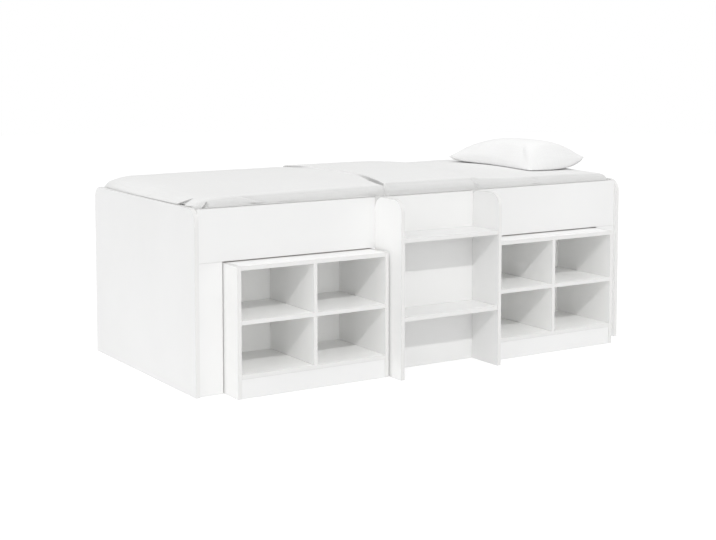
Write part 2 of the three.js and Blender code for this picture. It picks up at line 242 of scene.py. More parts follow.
def cloudy(tree, position, scale, detail=2.0, roughness=0.5, distortion=0.0):
    """Soft noise at a scale in features per metre"""
    node = place(tree, "ShaderNodeTexNoise", {
        "Vector": position, "Scale": scale, "Detail": detail,
        "Roughness": roughness, "Distortion": distortion,
    })
    return node.outputs["Fac"]


def new_group(name, inputs, outputs):
    """A shader node group, whose inputs are numbers where they have a default and else vectors"""
    group = bpy.data.node_groups.new(name, "ShaderNodeTree")
    for label, default in inputs.items():
        kind = "NodeSocketVector" if default is None else "NodeSocketFloat"
        socket = group.interface.new_socket(label, in_out="INPUT", socket_type=kind)
        if default is not None:
            socket.default_value = default
    for label in outputs:
        group.interface.new_socket(label, in_out="OUTPUT", socket_type="NodeSocketFloat")
    return group, group.nodes.new("NodeGroupInput"), group.nodes.new("NodeGroupOutput")


def use_group(tree, name, inputs):
    """Places one of the shared node groups, and gives its outputs in order"""
    node = place(tree, "ShaderNodeGroup", inputs, node_tree=bpy.data.node_groups[name])
    return list(node.outputs)


# Much wider than any board, to leave a direction or a corner out of the search for the nearest edge
FAR_AWAY = 10.0


def board_edges_group():
    """Masks round a board's edges: worn arrises, the joint beside the edging, and the edging itself"""
    group, start, end = new_group("Board Edges", {
        "Position": None, "Low Corner": None, "High Corner": None, "Across": None,
        "Corner Radius": 0.0, "Wear Width": 0.0025, "Edging Thickness": 0.0008,
    }, ["Wear", "Joint", "Edging"])
    position = start.outputs["Position"]
    from_low = calc_vector(group, "SUBTRACT", position, start.outputs["Low Corner"])
    from_high = calc_vector(group, "SUBTRACT", start.outputs["High Corner"], position)
    nearest = calc_vector(group, "MINIMUM", from_low, from_high)
    x, y, z = parts_of(group, nearest)
    larger = calc(group, "MAXIMUM", x, y)
    middle = calc(group, "MAXIMUM", calc(group, "MINIMUM", x, y), calc(group, "MINIMUM", larger, z))
    ragged = cloudy(group, position, 220.0, 3.0, 0.6)
    reach = times(group, start.outputs["Wear Width"], ragged)
    feed(group, end.inputs["Wear"], ramp(group, middle, 0.0, reach, 1.0, 0.0))

    far = calc_vector(group, "MULTIPLY", start.outputs["Across"], (FAR_AWAY, FAR_AWAY, FAR_AWAY))
    along_face = calc_vector(group, "ADD", nearest, far)
    face_x, face_y, face_z = parts_of(group, along_face)
    square = calc(group, "MINIMUM", calc(group, "MINIMUM", face_x, face_y), face_z)
    radius = start.outputs["Corner Radius"]
    top = parts_of(group, from_high)[2]
    corner_y = calc(group, "MAXIMUM", minus(group, radius, y), 0.0)
    corner_z = calc(group, "MAXIMUM", minus(group, radius, top), 0.0)
    squares = plus(group, times(group, corner_y, corner_y), times(group, corner_z, corner_z))
    turned = minus(group, radius, calc(group, "SQRT", squares))
    without = times(group, calc(group, "LESS_THAN", radius, 0.001), FAR_AWAY)
    edge = calc(group, "MINIMUM", square, plus(group, turned, without))
    off_joint = calc(group, "ABSOLUTE", minus(group, edge, start.outputs["Edging Thickness"]))
    feed(group, end.inputs["Joint"], ramp(group, off_joint, 0.0001, 0.0003, 1.0, 0.0))
    feed(group, end.inputs["Edging"], calc(group, "LESS_THAN", edge, 0.0006))


def handling_group():
    """Soft marks that any smooth surface gathers: wide clouds, wiped streaks and fine grain"""
    group, start, end = new_group(
        "Handling", {"Position": None, "Grain Scale": 900.0}, ["Clouds", "Streaks", "Grain"])
    position = start.outputs["Position"]
    feed(group, end.inputs["Clouds"], cloudy(group, position, 2.3, 3.0, 0.55))
    stretched = calc_vector(group, "MULTIPLY", position, (3.0, 3.0, 14.0))
    streaks = cloudy(group, stretched, 2.0, 4.0, 0.6, 0.4)
    feed(group, end.inputs["Streaks"], ramp(group, streaks, 0.35, 0.7))
    feed(group, end.inputs["Grain"], cloudy(group, position, start.outputs["Grain Scale"], 2.0, 0.6))


def pine_grain_group():
    """Growth rings, knots and pores of sawn pine"""
    group, start, end = new_group(
        "Pine Grain", {"Position": None, "Stretch": None, "Shift": None, "Ring Spacing": 0.0045},
        ["Late Wood", "Knots", "Pores"])
    moved = calc_vector(group, "ADD", start.outputs["Position"], start.outputs["Shift"])
    drawn = calc_vector(group, "MULTIPLY", moved, start.outputs["Stretch"])
    cells = place(group, "ShaderNodeTexVoronoi", {"Vector": drawn, "Scale": 9.0, "Randomness": 1.0})
    feed(group, end.inputs["Knots"], ramp(group, cells.outputs["Distance"], 0.035, 0.075, 1.0, 0.0))
    pull = ramp(group, cells.outputs["Distance"], 0.0, 0.25, 0.02, 0.0)
    x, y, z = parts_of(group, drawn)
    flat = plus(group, times(group, x, x), times(group, y, y))
    round_pith = calc(group, "SQRT", plus(group, flat, times(group, z, z)))
    swayed = plus(group, round_pith, times(group, cloudy(group, drawn, 14.0), 0.011))
    swayed = plus(group, swayed, pull)
    turns = calc(group, "FRACT", calc(group, "DIVIDE", swayed, start.outputs["Ring Spacing"]))
    slow = ramp(group, turns, 0.25, 0.88)
    sudden = ramp(group, turns, 0.9, 1.0, 1.0, 0.0)
    feed(group, end.inputs["Late Wood"], times(group, slow, sudden))
    feed(group, end.inputs["Pores"], cloudy(group, drawn, 900.0, 2.0, 0.6))


def zinc_bloom_group():
    """Crystals and handling scratches of zinc plating"""
    group, start, end = new_group(
        "Zinc Bloom", {"Position": None, "Crystal Scale": 260.0}, ["Crystals", "Scratches"])
    position = start.outputs["Position"]
    scale = start.outputs["Crystal Scale"]
    cells = place(group, "ShaderNodeTexVoronoi", {"Vector": position, "Scale": scale})
    tone = place(group, "ShaderNodeSeparateColor", {"Color": cells.outputs["Color"]})
    feed(group, end.inputs["Crystals"], tone.outputs["Red"])
    turned = place(group, "ShaderNodeMapping", {
        "Vector": position, "Rotation": (0.3, 0.5, 0.7), "Scale": (40.0, 700.0, 900.0)})
    marks = cloudy(group, turned.outputs["Vector"], 1.0, 3.0, 0.7)
    feed(group, end.inputs["Scratches"], ramp(group, marks, 0.58, 0.72))


def uneven_threads(group, along_x, along_y):
    """The tone of threads that run one way, from how far to draw the noise out each way"""
    drawn = place(group, "ShaderNodeCombineXYZ", {"X": along_x, "Y": along_y})
    return cloudy(group, drawn.outputs["Vector"], 1.0)


def woven_cloth_group():
    """Plain weave that follows a surface's main direction, with uneven threads"""
    group, start, end = new_group(
        "Woven Cloth", {"Position": None, "Normal": None, "Thread Spacing": 0.0009},
        ["Weave", "Thread Tone", "Fuzz"])
    position = start.outputs["Position"]
    wander = place(group, "ShaderNodeTexNoise", {"Vector": position, "Scale": 60.0, "Detail": 1.0})
    sway = calc_vector(group, "MULTIPLY", wander.outputs["Color"], (0.0012, 0.0012, 0.0012))
    x, y, z = parts_of(group, calc_vector(group, "ADD", position, sway))
    size = calc_vector(group, "ABSOLUTE", start.outputs["Normal"])
    normal_x, normal_y, normal_z = parts_of(group, size)
    standing = calc(group, "LESS_THAN", normal_z, 0.62)
    end_face = times(group, standing, calc(group, "GREATER_THAN", normal_x, normal_y))
    lying = minus(group, 1.0, standing)
    across = minus(group, 1.0, end_face)
    first = plus(group, times(group, x, across), times(group, y, end_face))
    second = plus(group, times(group, y, lying), times(group, z, standing))
    turn = calc(group, "DIVIDE", math.pi, start.outputs["Thread Spacing"])
    warp = calc(group, "SINE", times(group, first, turn))
    weft = calc(group, "SINE", times(group, second, turn))
    over = calc(group, "GREATER_THAN", times(group, warp, weft), 0.0)
    under = minus(group, 1.0, over)
    warp_shows = times(group, calc(group, "ABSOLUTE", warp), over)
    weft_shows = times(group, calc(group, "ABSOLUTE", weft), under)
    feed(group, end.inputs["Weave"], plus(group, warp_shows, weft_shows))
    warp_tone = uneven_threads(group, times(group, first, 600.0), times(group, second, 6.0))
    weft_tone = uneven_threads(group, times(group, first, 6.0), times(group, second, 600.0))
    tone = plus(group, times(group, warp_tone, over), times(group, weft_tone, under))
    feed(group, end.inputs["Thread Tone"], tone)
    feed(group, end.inputs["Fuzz"], cloudy(group, position, 1400.0, 2.0, 0.7))


def node_groups():
    """Builds every shared group that isn't there yet"""
    makers = {
        "Board Edges": board_edges_group,
        "Handling": handling_group,
        "Pine Grain": pine_grain_group,
        "Zinc Bloom": zinc_bloom_group,
        "Woven Cloth": woven_cloth_group,
    }
    for name, maker in makers.items():
        if name not in bpy.data.node_groups:
            maker()


def new_material(name, roughness, metallic=0.0, sheen=0.0):
    """A material with its shader, and the position in the bed's own frame that its nodes start from"""
    node_groups()
    material = bpy.data.materials.new(name)
    material.use_nodes = True
    tree = material.node_tree
    shader = tree.nodes["Principled BSDF"]
    shader.inputs["Roughness"].default_value = roughness
    shader.inputs["Metallic"].default_value = metallic
    if sheen:
        shader.inputs["Sheen Weight"].default_value = sheen
        shader.inputs["Sheen Roughness"].default_value = 0.5
    position = place(tree, "ShaderNodeTexCoord").outputs["Object"]
    return material, tree, shader, position


def own_value(tree, name):
    """The node for a value that each object carries for itself"""
    return place(tree, "ShaderNodeAttribute", attribute_type="OBJECT", attribute_name=name)


def bump(tree, shader, height, depth):
    """Raises the surface by a height from 0 to 1 times a depth in metres"""
    node = place(tree, "ShaderNodeBump", {"Strength": 1.0, "Distance": depth, "Height": height})
    feed(tree, shader.inputs["Normal"], node.outputs["Normal"])


def colour(values, gain=1.0):
    """A colour property as four numbers, lighter or darker by a gain"""
    return tuple(min(1.0, value * gain) for value in values) + (1.0,)


def shaded(tree, share, values, first_gain, second_gain):
    """Mixes two shades of one colour"""
    return mixed(tree, share, colour(values, first_gain), colour(values, second_gain))


# Materials


def board_material(name, shaded_white, finish):
    """Melamine-faced board: pearl grain, edging with its joint line, worn arrises, on a white made lighter or
    darker as painted light and shade
    """
    material, tree, shader, position = new_material(name, 0.42)
    wear, joint, edging = use_group(tree, "Board Edges", {
        "Position": position,
        "Low Corner": own_value(tree, "board_low").outputs["Vector"],
        "High Corner": own_value(tree, "board_high").outputs["Vector"],
        "Across": own_value(tree, "board_across").outputs["Vector"],
        "Corner Radius": own_value(tree, "board_round").outputs["Fac"],
        "Wear Width": finish.wear,
        "Edging Thickness": finish.edging_thickness,
    })
    clouds, streaks, grain = use_group(tree, "Handling", {"Position": position, "Grain Scale": 850.0})
    tone = shaded(tree, ramp(tree, clouds, 0.3, 0.7), shaded_white, 0.985, 1.01)
    tone = mixed(tree, ramp(tree, grain, 0.62, 0.8, 0.0, 0.35), tone, colour(shaded_white, 0.93))
    tone = mixed(tree, edging, tone, colour(finish.edging))
    tone = mixed(tree, times(tree, wear, 0.35), tone, colour(finish.edging, 0.88))
    tone = mixed(tree, times(tree, joint, 0.55), tone, colour(finish.edging, 0.62))
    feed(tree, shader.inputs["Base Color"], tone)
    gloss = ramp(tree, streaks, 0.0, 1.0, 0.46, 0.38)
    gloss = plus(tree, gloss, times(tree, wear, 0.1))
    gloss = minus(tree, gloss, times(tree, edging, 0.05))
    feed(tree, shader.inputs["Roughness"], gloss)
    bump(tree, shader, minus(tree, grain, times(tree, joint, 1.5)), 0.00006)
    return material


def back_material(finish):
    """Lacquered hardboard: a fine pressed texture under thin white paint"""
    material, tree, shader, position = new_material("white_back_finish", 0.6)
    clouds, streaks, grain = use_group(tree, "Handling", {"Position": position, "Grain Scale": 1500.0})
    fibres = cloudy(tree, calc_vector(tree, "MULTIPLY", position, (1.0, 1.0, 0.25)), 420.0, 3.0, 0.65)
    tone = shaded(tree, ramp(tree, clouds, 0.3, 0.7), finish.back, 0.975, 1.01)
    tone = mixed(tree, ramp(tree, fibres, 0.5, 0.8, 0.0, 0.3), tone, colour(finish.back, 0.9))
    feed(tree, shader.inputs["Base Color"], tone)
    feed(tree, shader.inputs["Roughness"], ramp(tree, streaks, 0.0, 1.0, 0.64, 0.54))
    bump(tree, shader, plus(tree, fibres, grain), 0.00005)
    return material


def pine_material(name, timber, stretch):
    """Planed pine, its grain along one direction"""
    material, tree, shader, position = new_material(name, 0.62)
    late_wood, knots, pores = use_group(tree, "Pine Grain", {
        "Position": position,
        "Stretch": stretch,
        "Shift": own_value(tree, "grain_shift").outputs["Vector"],
        "Ring Spacing": timber.ring_spacing,
    })
    clouds = use_group(tree, "Handling", {"Position": position, "Grain Scale": 600.0})[0]
    tone = mixed(tree, times(tree, late_wood, 0.7), colour(timber.early), colour(timber.late))
    tone = mixed(tree, ramp(tree, pores, 0.55, 0.8, 0.0, 0.3), tone, colour(timber.late, 0.85))
    tone = mixed(tree, ramp(tree, clouds, 0.35, 0.75, 0.0, 0.25), tone, colour(timber.early, 0.86))
    feed(tree, shader.inputs["Base Color"], mixed(tree, knots, tone, colour(timber.knot)))
    feed(tree, shader.inputs["Roughness"], ramp(tree, late_wood, 0.0, 1.0, 0.68, 0.52))
    bump(tree, shader, plus(tree, times(tree, late_wood, 0.5), pores), 0.00012)
    return material


def steel_material(steel):
    """Zinc plated steel with faint crystals and scratches"""
    material, tree, shader, position = new_material("zinc_steel_finish", 0.34, metallic=1.0)
    crystals, scratches = use_group(tree, "Zinc Bloom", {"Position": position, "Crystal Scale": 260.0})
    tone = shaded(tree, crystals, steel.zinc, 0.9, 1.12)
    tone = mixed(tree, times(tree, scratches, 0.4), tone, colour(steel.zinc, 1.35))
    feed(tree, shader.inputs["Base Color"], tone)
    gloss = ramp(tree, crystals, 0.0, 1.0, 0.28, 0.42)
    feed(tree, shader.inputs["Roughness"], plus(tree, gloss, times(tree, scratches, 0.15)))
    bump(tree, shader, plus(tree, scratches, crystals), 0.00002)
    return material


def zinc(context):
    """The plating that angles and screws share"""
    found = bpy.data.materials.get("zinc_steel_finish")
    return found or steel_material(context.scene.loft_bed_steel)


def cloth_material(name, base, side_shade_colour, thread, sheen):
    """Woven cotton with uneven threads and a soft nap; the sides that face the front or rear are painted
    darker, as painted shade
    """
    material, tree, shader, position = new_material(name, 0.9, sheen=sheen)
    normal = place(tree, "ShaderNodeTexCoord").outputs["Normal"]
    weave, thread_tone, fuzz = use_group(tree, "Woven Cloth", {
        "Position": position, "Normal": normal, "Thread Spacing": thread})
    clouds = use_group(tree, "Handling", {"Position": position, "Grain Scale": 500.0})[0]
    uneven = ramp(tree, thread_tone, 0.3, 0.7)
    tone = shaded(tree, uneven, base, 0.965, 1.02)
    tone = mixed(tree, ramp(tree, weave, 0.0, 0.5, 0.18, 0.0), tone, colour(base, 0.8))
    tone = mixed(tree, ramp(tree, clouds, 0.35, 0.7, 0.0, 0.3), tone, colour(base, 0.975))
    # Painted shade: faces that look to the front or rear get the darker side colour
    side_shade_share = ramp(tree, calc(tree, "ABSOLUTE", parts_of(tree, normal)[1]), 0.02, 0.75)
    tone = mixed(tree, side_shade_share, tone, shaded(tree, uneven, side_shade_colour, 0.95, 1.02))
    feed(tree, shader.inputs["Base Color"], tone)
    feed(tree, shader.inputs["Roughness"], ramp(tree, fuzz, 0.3, 0.7, 0.84, 0.96))
    bump(tree, shader, plus(tree, weave, times(tree, fuzz, 0.5)), thread * 0.06)
    return material


# Meshes


def dress(node, material):
    """Puts a material on a node of the frame"""
    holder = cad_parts[node]
    holder.data.materials.clear()
    holder.data.materials.append(material)
    return holder


def break_arrises(holder, width):
    """Takes the sharp arris off a board"""
    weld = holder.modifiers.new("Joined corners", "WELD")
    weld.merge_threshold = 0.00001
    arris = holder.modifiers.new("Broken arris", "BEVEL")
    arris.width = width
    arris.segments = 2
    arris.limit_method = "ANGLE"
    arris.angle_limit = math.radians(40)


def new_piece(name, points, faces, material, body, smooth=True):
    """A mesh object that rides on a body"""
    mesh = bpy.data.meshes.new(name)
    mesh.from_pydata([tuple(point) for point in points], [], faces)
    mesh.validate()
    mesh.materials.append(material)
    mesh.polygons.foreach_set("use_smooth", [smooth] * len(mesh.polygons))
    piece = bpy.data.objects.new(name, mesh)
    bpy.context.scene.collection.objects.link(piece)
    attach(piece, body)
    return piece


def eased(value, start, end):
    """A smooth step from 0 to 1 between two values"""
    share = np.clip((value - start) / (end - start), 0.0, 1.0)
    return share * share * (3 - 2 * share)


def through(places, values, at, spread):
    """A soft curve through known values: straight stretches, averaged over a spread"""
    steps = np.linspace(-spread, spread, 7)
    return sum(np.interp(at + step, places, values) for step in steps) / len(steps)


def bell(gap, width):
    """1 at a place, and softly down to 0 about two widths away from it"""
    return np.exp(-((gap / width) ** 2))


def grid_lines(low, high, step, close):
    """Grid lines between two ends, nearer together in the close stretches"""
    lines = [low]
    while lines[-1] < high - 1e-9:
        here = lines[-1] + 1e-9
        inside = [fine for start, end, fine in close if start <= here < end]
        ahead = [start - here for start, end, fine in close if start > here]
        gap = min(inside) if inside else min([step] + [max(gap, step / 3) for gap in ahead])
        lines.append(min(high, lines[-1] + gap))
    if lines[-1] - lines[-2] < 0.4 * (lines[-2] - lines[-3]):
        del lines[-2]
    return np.array(lines)


def box_skin(xs, ys, zs):
    """The skin of a box grid: its points and four-sided faces"""
    found, points, faces = {}, [], []

    def add(*corners):
        for i, j, k in corners:
            if (i, j, k) not in found:
                found[i, j, k] = len(points)
                points.append((xs[i], ys[j], zs[k]))
        faces.append(tuple(found[corner] for corner in corners))

    last_x, last_y, last_z = len(xs) - 1, len(ys) - 1, len(zs) - 1
    for i in range(last_x):
        for j in range(last_y):
            add((i, j, last_z), (i + 1, j, last_z), (i + 1, j + 1, last_z), (i, j + 1, last_z))
            add((i, j, 0), (i, j + 1, 0), (i + 1, j + 1, 0), (i + 1, j, 0))
    for k in range(last_z):
        for i in range(last_x):
            add((i, 0, k), (i + 1, 0, k), (i + 1, 0, k + 1), (i, 0, k + 1))
            add((i, last_y, k), (i, last_y, k + 1), (i + 1, last_y, k + 1), (i + 1, last_y, k))
        for j in range(last_y):
            add((0, j, k), (0, j, k + 1), (0, j + 1, k + 1), (0, j + 1, k))
            add((last_x, j, k), (last_x, j + 1, k), (last_x, j + 1, k + 1), (last_x, j, k + 1))
    return np.array(points), faces


def unit(vectors):
    """The same directions at a length of 1"""
    return vectors / np.maximum(np.linalg.norm(vectors, axis=1, keepdims=True), 1e-9)


def point_normals(points, faces):
    """The outward direction at every point of a skin of four-sided faces"""
    corners = np.array(faces)
    first = points[corners[:, 2]] - points[corners[:, 0]]
    second = points[corners[:, 3]] - points[corners[:, 1]]
    normal = np.cross(first, second)
    total = np.zeros_like(points)
    for corner in range(4):
        np.add.at(total, corners[:, corner], normal)
    return unit(total)


def distance_to_line(points, line):
    """How far each point lies from a line of straight stretches, and how far along the line, from 0 to 1"""
    line = np.array(line)
    lengths = np.linalg.norm(np.diff(line, axis=0), axis=1)
    before = np.concatenate([[0], np.cumsum(lengths)]) / lengths.sum()
    best, share = np.full(len(points), 1e9), np.zeros(len(points))
    for number, (a, b) in enumerate(zip(line, line[1:])):
        along = np.clip((points - a) @ (b - a) / ((b - a) @ (b - a)), 0, 1)
        gap = np.linalg.norm(points - (a + along[:, None] * (b - a)), axis=1)
        nearer = gap < best
        best[nearer] = gap[nearer]
        share[nearer] = (before[number] + along * (before[number + 1] - before[number]))[nearer]
    return best, share


# Mattress

MATTRESS_LENGTH = 2.0056
MATTRESS_WIDTH = 0.8984
HALF_LENGTH = MATTRESS_LENGTH / 2
HALF_WIDTH = MATTRESS_WIDTH / 2
CORNER_RADIUS = 0.032
GAP_TO_BOARDS = 0.0003
MATTRESS_UNDERSIDE = BAY_LOW.z + GAP_TO_BOARDS
FRONT_Y = BAY_MIDDLE_Y - HALF_WIDTH
REAR_Y = BAY_MIDDLE_Y + HALF_WIDTH
RAIL_TOP = BAY_HIGH.z
PANEL_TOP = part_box("foot_end_panel")[1].z
GRID_STEP = 0.013
# The rows of points that lie close together above the rail, and the height at which they end
ROWS_ABOVE_RAIL = [0.0002, 0.0004, 0.0007, 0.0011, 0.0017, 0.0026, 0.0036, 0.0041, 0.0044, 0.0047, 0.0053]
LIP = RAIL_TOP + 0.0065
CREASE_MIDDLE = -0.14
# Where the cover's grid lies closer than its step: from, to and the closer step
CLOSE_ALONG = [
    (-1.003, -0.930, 0.0032), (-0.930, -0.700, 0.0055),
    (CREASE_MIDDLE - 0.022, CREASE_MIDDLE + 0.022, 0.0016),
    (CREASE_MIDDLE - 0.045, CREASE_MIDDLE + 0.045, 0.003),
    (0.225, 0.285, 0.004), (0.510, 0.585, 0.005), (0.940, 1.003, 0.0032),
]
CLOSE_ACROSS = [
    (FRONT_Y, FRONT_Y + 0.045, 0.003), (FRONT_Y, -0.165, 0.0042), (REAR_Y - 0.045, REAR_Y, 0.003),
]

# The height of the cover's top along the front edge, and how much further it rises towards the rear
TOP_X = [-0.998, -0.96, -0.911, -0.564, -0.195, 0.30, 0.45, 0.707, 0.90, 0.96, 0.998]
TOP_Z = [0.709, 0.718, 0.7225, 0.7265, 0.7305, 0.7305, 0.7225, 0.7245, 0.7225, 0.7185, 0.707]
REAR_RISE_X = [-0.8, -0.56, -0.3, 0.1, 0.5]
REAR_RISE = [0.0095, 0.007, 0.0035, 0.0035, 0.0]
CROWN = 0.014
TOP_SPREAD = 0.03
REAR_SPREAD = 0.06
FOOT_CORNER_DIP = 0.012
FOOT_CORNER_X = (0.88, 0.998)
FOOT_CORNER_REACH = 0.16
WANDER = 0.0012

# The radii of the soft edges above and below, and how far the side is drawn in beside them
SHOULDER = 0.030
SHOULDER_LESS_AT_CREASE = 0.017
LOW_SHOULDER = 0.018
DRAWN_IN_HIGH = 0.004
DRAWN_IN_LOW = 0.003
DRAWN_IN_REACH = 0.06

# The raised stretch begins at the crease and ends on a slanting line
RAISED = 0.0055
RAISED_END_FRONT = 0.256
RAISED_END_REAR = 0.409
RAISED_RISE = 0.008
RAISED_RUNOUT = 0.04

# Where the crease runs across the bed, and what share of its depth it has from the front to the rear
CREASE_Y = [-0.3695, -0.3305, -0.1745, -0.0555, 0.33, 0.44, 0.50, 0.5395]
CREASE_X = [-0.190, -0.183, -0.142, -0.116, -0.117, -0.129, -0.137, -0.150]
FADE_Y = [-0.36, -0.345, -0.31, -0.27, -0.22, -0.17, -0.12, -0.05, 0.10, 0.35, 0.42, 0.47, 0.54]
FADE = [0.7, 0.5, 0.6, 0.9, 1.0, 0.8, 0.45, 0.15, 0.07, 0.10, 0.6, 1.25, 1.3]

# The crease's half widths towards the foot and the head, the shallow slump on its foot side, and how much
# narrower and shallower the crease is on the front wall
CREASE_WIDTH_FOOT = 0.0050
CREASE_WIDTH_HEAD = 0.0028
SLUMP_DEPTH = 0.0045
SLUMP_WIDTH = 0.028
NARROWER_IN_FRONT = 0.4
SHALLOWER_IN_FRONT = 0.6

# Small unevenness along the cover's edges and all over its top
PUCKER_DEPTH = 0.0014
PUCKERS_REACH_IN = 0.03
PUCKERS_REACH_DOWN = 0.06
UNEVEN_DEPTH = 0.0006

# How far the cover lies over the end panels, as a share of its bulge over the rail
FOOT_REACH_Y = [-0.35, -0.30, -0.22, -0.14, 0.05, 0.25, 0.42, 0.50]
FOOT_REACH = [0.2, 0.45, 0.75, 0.9, 0.9, 0.65, 0.25, 0.0]
HEAD_REACH = 0.35

# How far above a board's top the cover starts to lie over it, and how much higher it does so fully
OVER_START = 0.0001
OVER_FULL = 0.0005
# The heights between which it falls back again, and how far in from the walls the whole cover moves with it
BACK_FROM_RAIL = (0.018, 0.047)
SHARE_BACK_FROM_RAIL = 0.75
BACK_FROM_PANEL = (0.006, 0.030)
RAIL_REACH_IN = 0.035
PANEL_REACH_IN = 0.025
# The stretch that lies furthest over the rail: how soon after the crease it starts, and where it ends
STRETCH_START = (0.001, 0.012)
STRETCH_END = (0.240, 0.262)

# Small folds in the cover: the line that each follows, and its depths and half widths from end to end
FOLDS = [
    ([(-0.978, -0.352, 0.716), (-0.984, -0.356, 0.694)], (0.0035, 0.0035), (0.0050, 0.0060)),
    ([(-0.822, -0.342, 0.728), (-0.785, -0.353, 0.720), (-0.752, -0.359, 0.706), (-0.718, -0.362, 0.690)],
     (0.0030, 0.0075, 0.0075, 0.0020), (0.0055, 0.0075)),
    ([(-0.815, -0.356, 0.7005), (-0.765, -0.362, 0.6925), (-0.730, -0.362, 0.6895)],
     (0.0030, 0.0100, 0.0060), (0.0030, 0.0045)),
    ([(-0.648, -0.362, 0.692), (-0.596, -0.362, 0.6895)], (0.0030, 0.0035), (0.0030, 0.0040)),
    ([(-0.560, -0.350, 0.716), (-0.520, -0.360, 0.692)], (0.0025, 0.0025), (0.0070, 0.0080)),
    ([(-0.400, -0.352, 0.716), (-0.362, -0.360, 0.692)], (0.0020, 0.0020), (0.0080, 0.0080)),
    ([(-0.300, -0.361, 0.697), (-0.235, -0.362, 0.690)], (0.0030, 0.0040), (0.0040, 0.0060)),
    ([(0.246, -0.330, 0.731), (0.254, -0.350, 0.722), (0.266, -0.368, 0.700), (0.272, -0.370, 0.690)],
     (0.0060, 0.0100), (0.0045, 0.0070)),
    ([(0.555, -0.362, 0.693), (0.600, -0.362, 0.6895)], (0.0040, 0.0045), (0.0030, 0.0045)),
    ([(0.570, -0.352, 0.714), (0.600, -0.360, 0.695)], (0.0022, 0.0022), (0.0080, 0.0080)),
    ([(0.800, -0.350, 0.714), (0.828, -0.360, 0.692)], (0.0025, 0.0025), (0.0070, 0.0070)),
    ([(0.972, -0.335, 0.716), (0.990, -0.350, 0.704), (1.000, -0.357, 0.692)],
     (0.0140, 0.0160), (0.0050, 0.0080)),
    ([(-1.010, 0.300, 0.694), (-0.994, 0.270, 0.708)], (0.0035, 0.0035), (0.0070, 0.0070)),
    ([(-1.012, 0.080, 0.694), (-0.994, 0.050, 0.708)], (0.0030, 0.0030), (0.0070, 0.0070)),
    ([(-1.012, -0.080, 0.694), (-0.994, -0.110, 0.706)], (0.0035, 0.0035), (0.0070, 0.0070)),
]

# Pockets where the cover tucks in: the axis that the face looks along, the opening's corners and its depth
POCKETS = [
    (0, [(-0.220, 0.6895), (-0.272, 0.7165), (-0.276, 0.6895)], 0.017),
    (1, [(-0.9735, 0.6890), (-0.9495, 0.6890), (-0.9550, 0.7080)], 0.020),
]


def crease_x(y):
    """Where the crease runs across the bed"""
    return through(CREASE_Y, CREASE_X, y, TOP_SPREAD)


def mattress_top(x, y):
    """Height of the cover's top before its crease: nearly level, crowned, and raised in one stretch"""
    across = np.clip((y - BAY_MIDDLE_Y) / HALF_WIDTH, -1, 1)
    along = np.clip(x / HALF_LENGTH, -1, 1)
    edge = through(TOP_X, TOP_Z, x, TOP_SPREAD)
    crown = CROWN * (1 - across**2) * (1 - np.abs(along) ** 6)
    middle = crease_x(y)
    raised_end = RAISED_END_FRONT + (RAISED_END_REAR - RAISED_END_FRONT) * (across + 1) / 2
    raised = RAISED * eased(x, middle - 0.001, middle + RAISED_RISE)
    raised = raised * (1 - eased(x, raised_end, raised_end + RAISED_RUNOUT))
    rear = through(REAR_RISE_X, REAR_RISE, x, REAR_SPREAD) * eased(across, -0.2, 1.0)
    foot_corner = FOOT_CORNER_DIP * eased(-x, *FOOT_CORNER_X) * eased(y, REAR_Y - FOOT_CORNER_REACH, REAR_Y)
    wander = WANDER * np.sin(x * 9.1 + 1.3 * np.sin(y * 7.0)) * np.cos(y * 8.3 + 0.7)
    return edge + crown + raised + rear - foot_corner + wander


def in_triangle(a, b, corners, soft):
    """1 inside a triangle and 0 outside it, with a soft border"""
    (a0, b0), (a1, b1), (a2, b2) = corners
    way = np.sign((a1 - a0) * (b2 - b0) - (b1 - b0) * (a2 - a0))
    share = 1.0
    for (a0, b0), (a1, b1) in zip(corners, corners[1:] + corners[:1]):
        off = ((a1 - a0) * (b - b0) - (b1 - b0) * (a - a0)) / math.hypot(a1 - a0, b1 - b0)
        share = share * eased(way * off, -soft, soft)
    return share


def cover_grid():
    """A box grid that leans with the crease, closest at the folds: its places, its top and its faces"""
    xs = grid_lines(-HALF_LENGTH, HALF_LENGTH, GRID_STEP, CLOSE_ALONG)
    ys = grid_lines(FRONT_Y, REAR_Y, GRID_STEP, CLOSE_ACROSS)
    side_rows = np.linspace(MATTRESS_UNDERSIDE, RAIL_TOP - 0.001, 10)
    low_rows = np.concatenate([side_rows, RAIL_TOP + np.array(ROWS_ABOVE_RAIL)])
    low_shares = (low_rows - MATTRESS_UNDERSIDE) / (LIP - MATTRESS_UNDERSIDE)
    raw, faces = box_skin(xs, ys, np.concatenate([low_shares, np.linspace(1, 2, 15)]))
    x, y, row = raw.T
    lean = 1 - eased(np.abs(x - CREASE_MIDDLE), 0.05, 0.40)
    x = x + lean * (crease_x(y) - CREASE_MIDDLE)
    top = mattress_top(x, y)
    low = MATTRESS_UNDERSIDE + np.minimum(row, 1) * (LIP - MATTRESS_UNDERSIDE)
    return x, y, low + np.maximum(row - 1, 0) * (top - LIP), top, faces


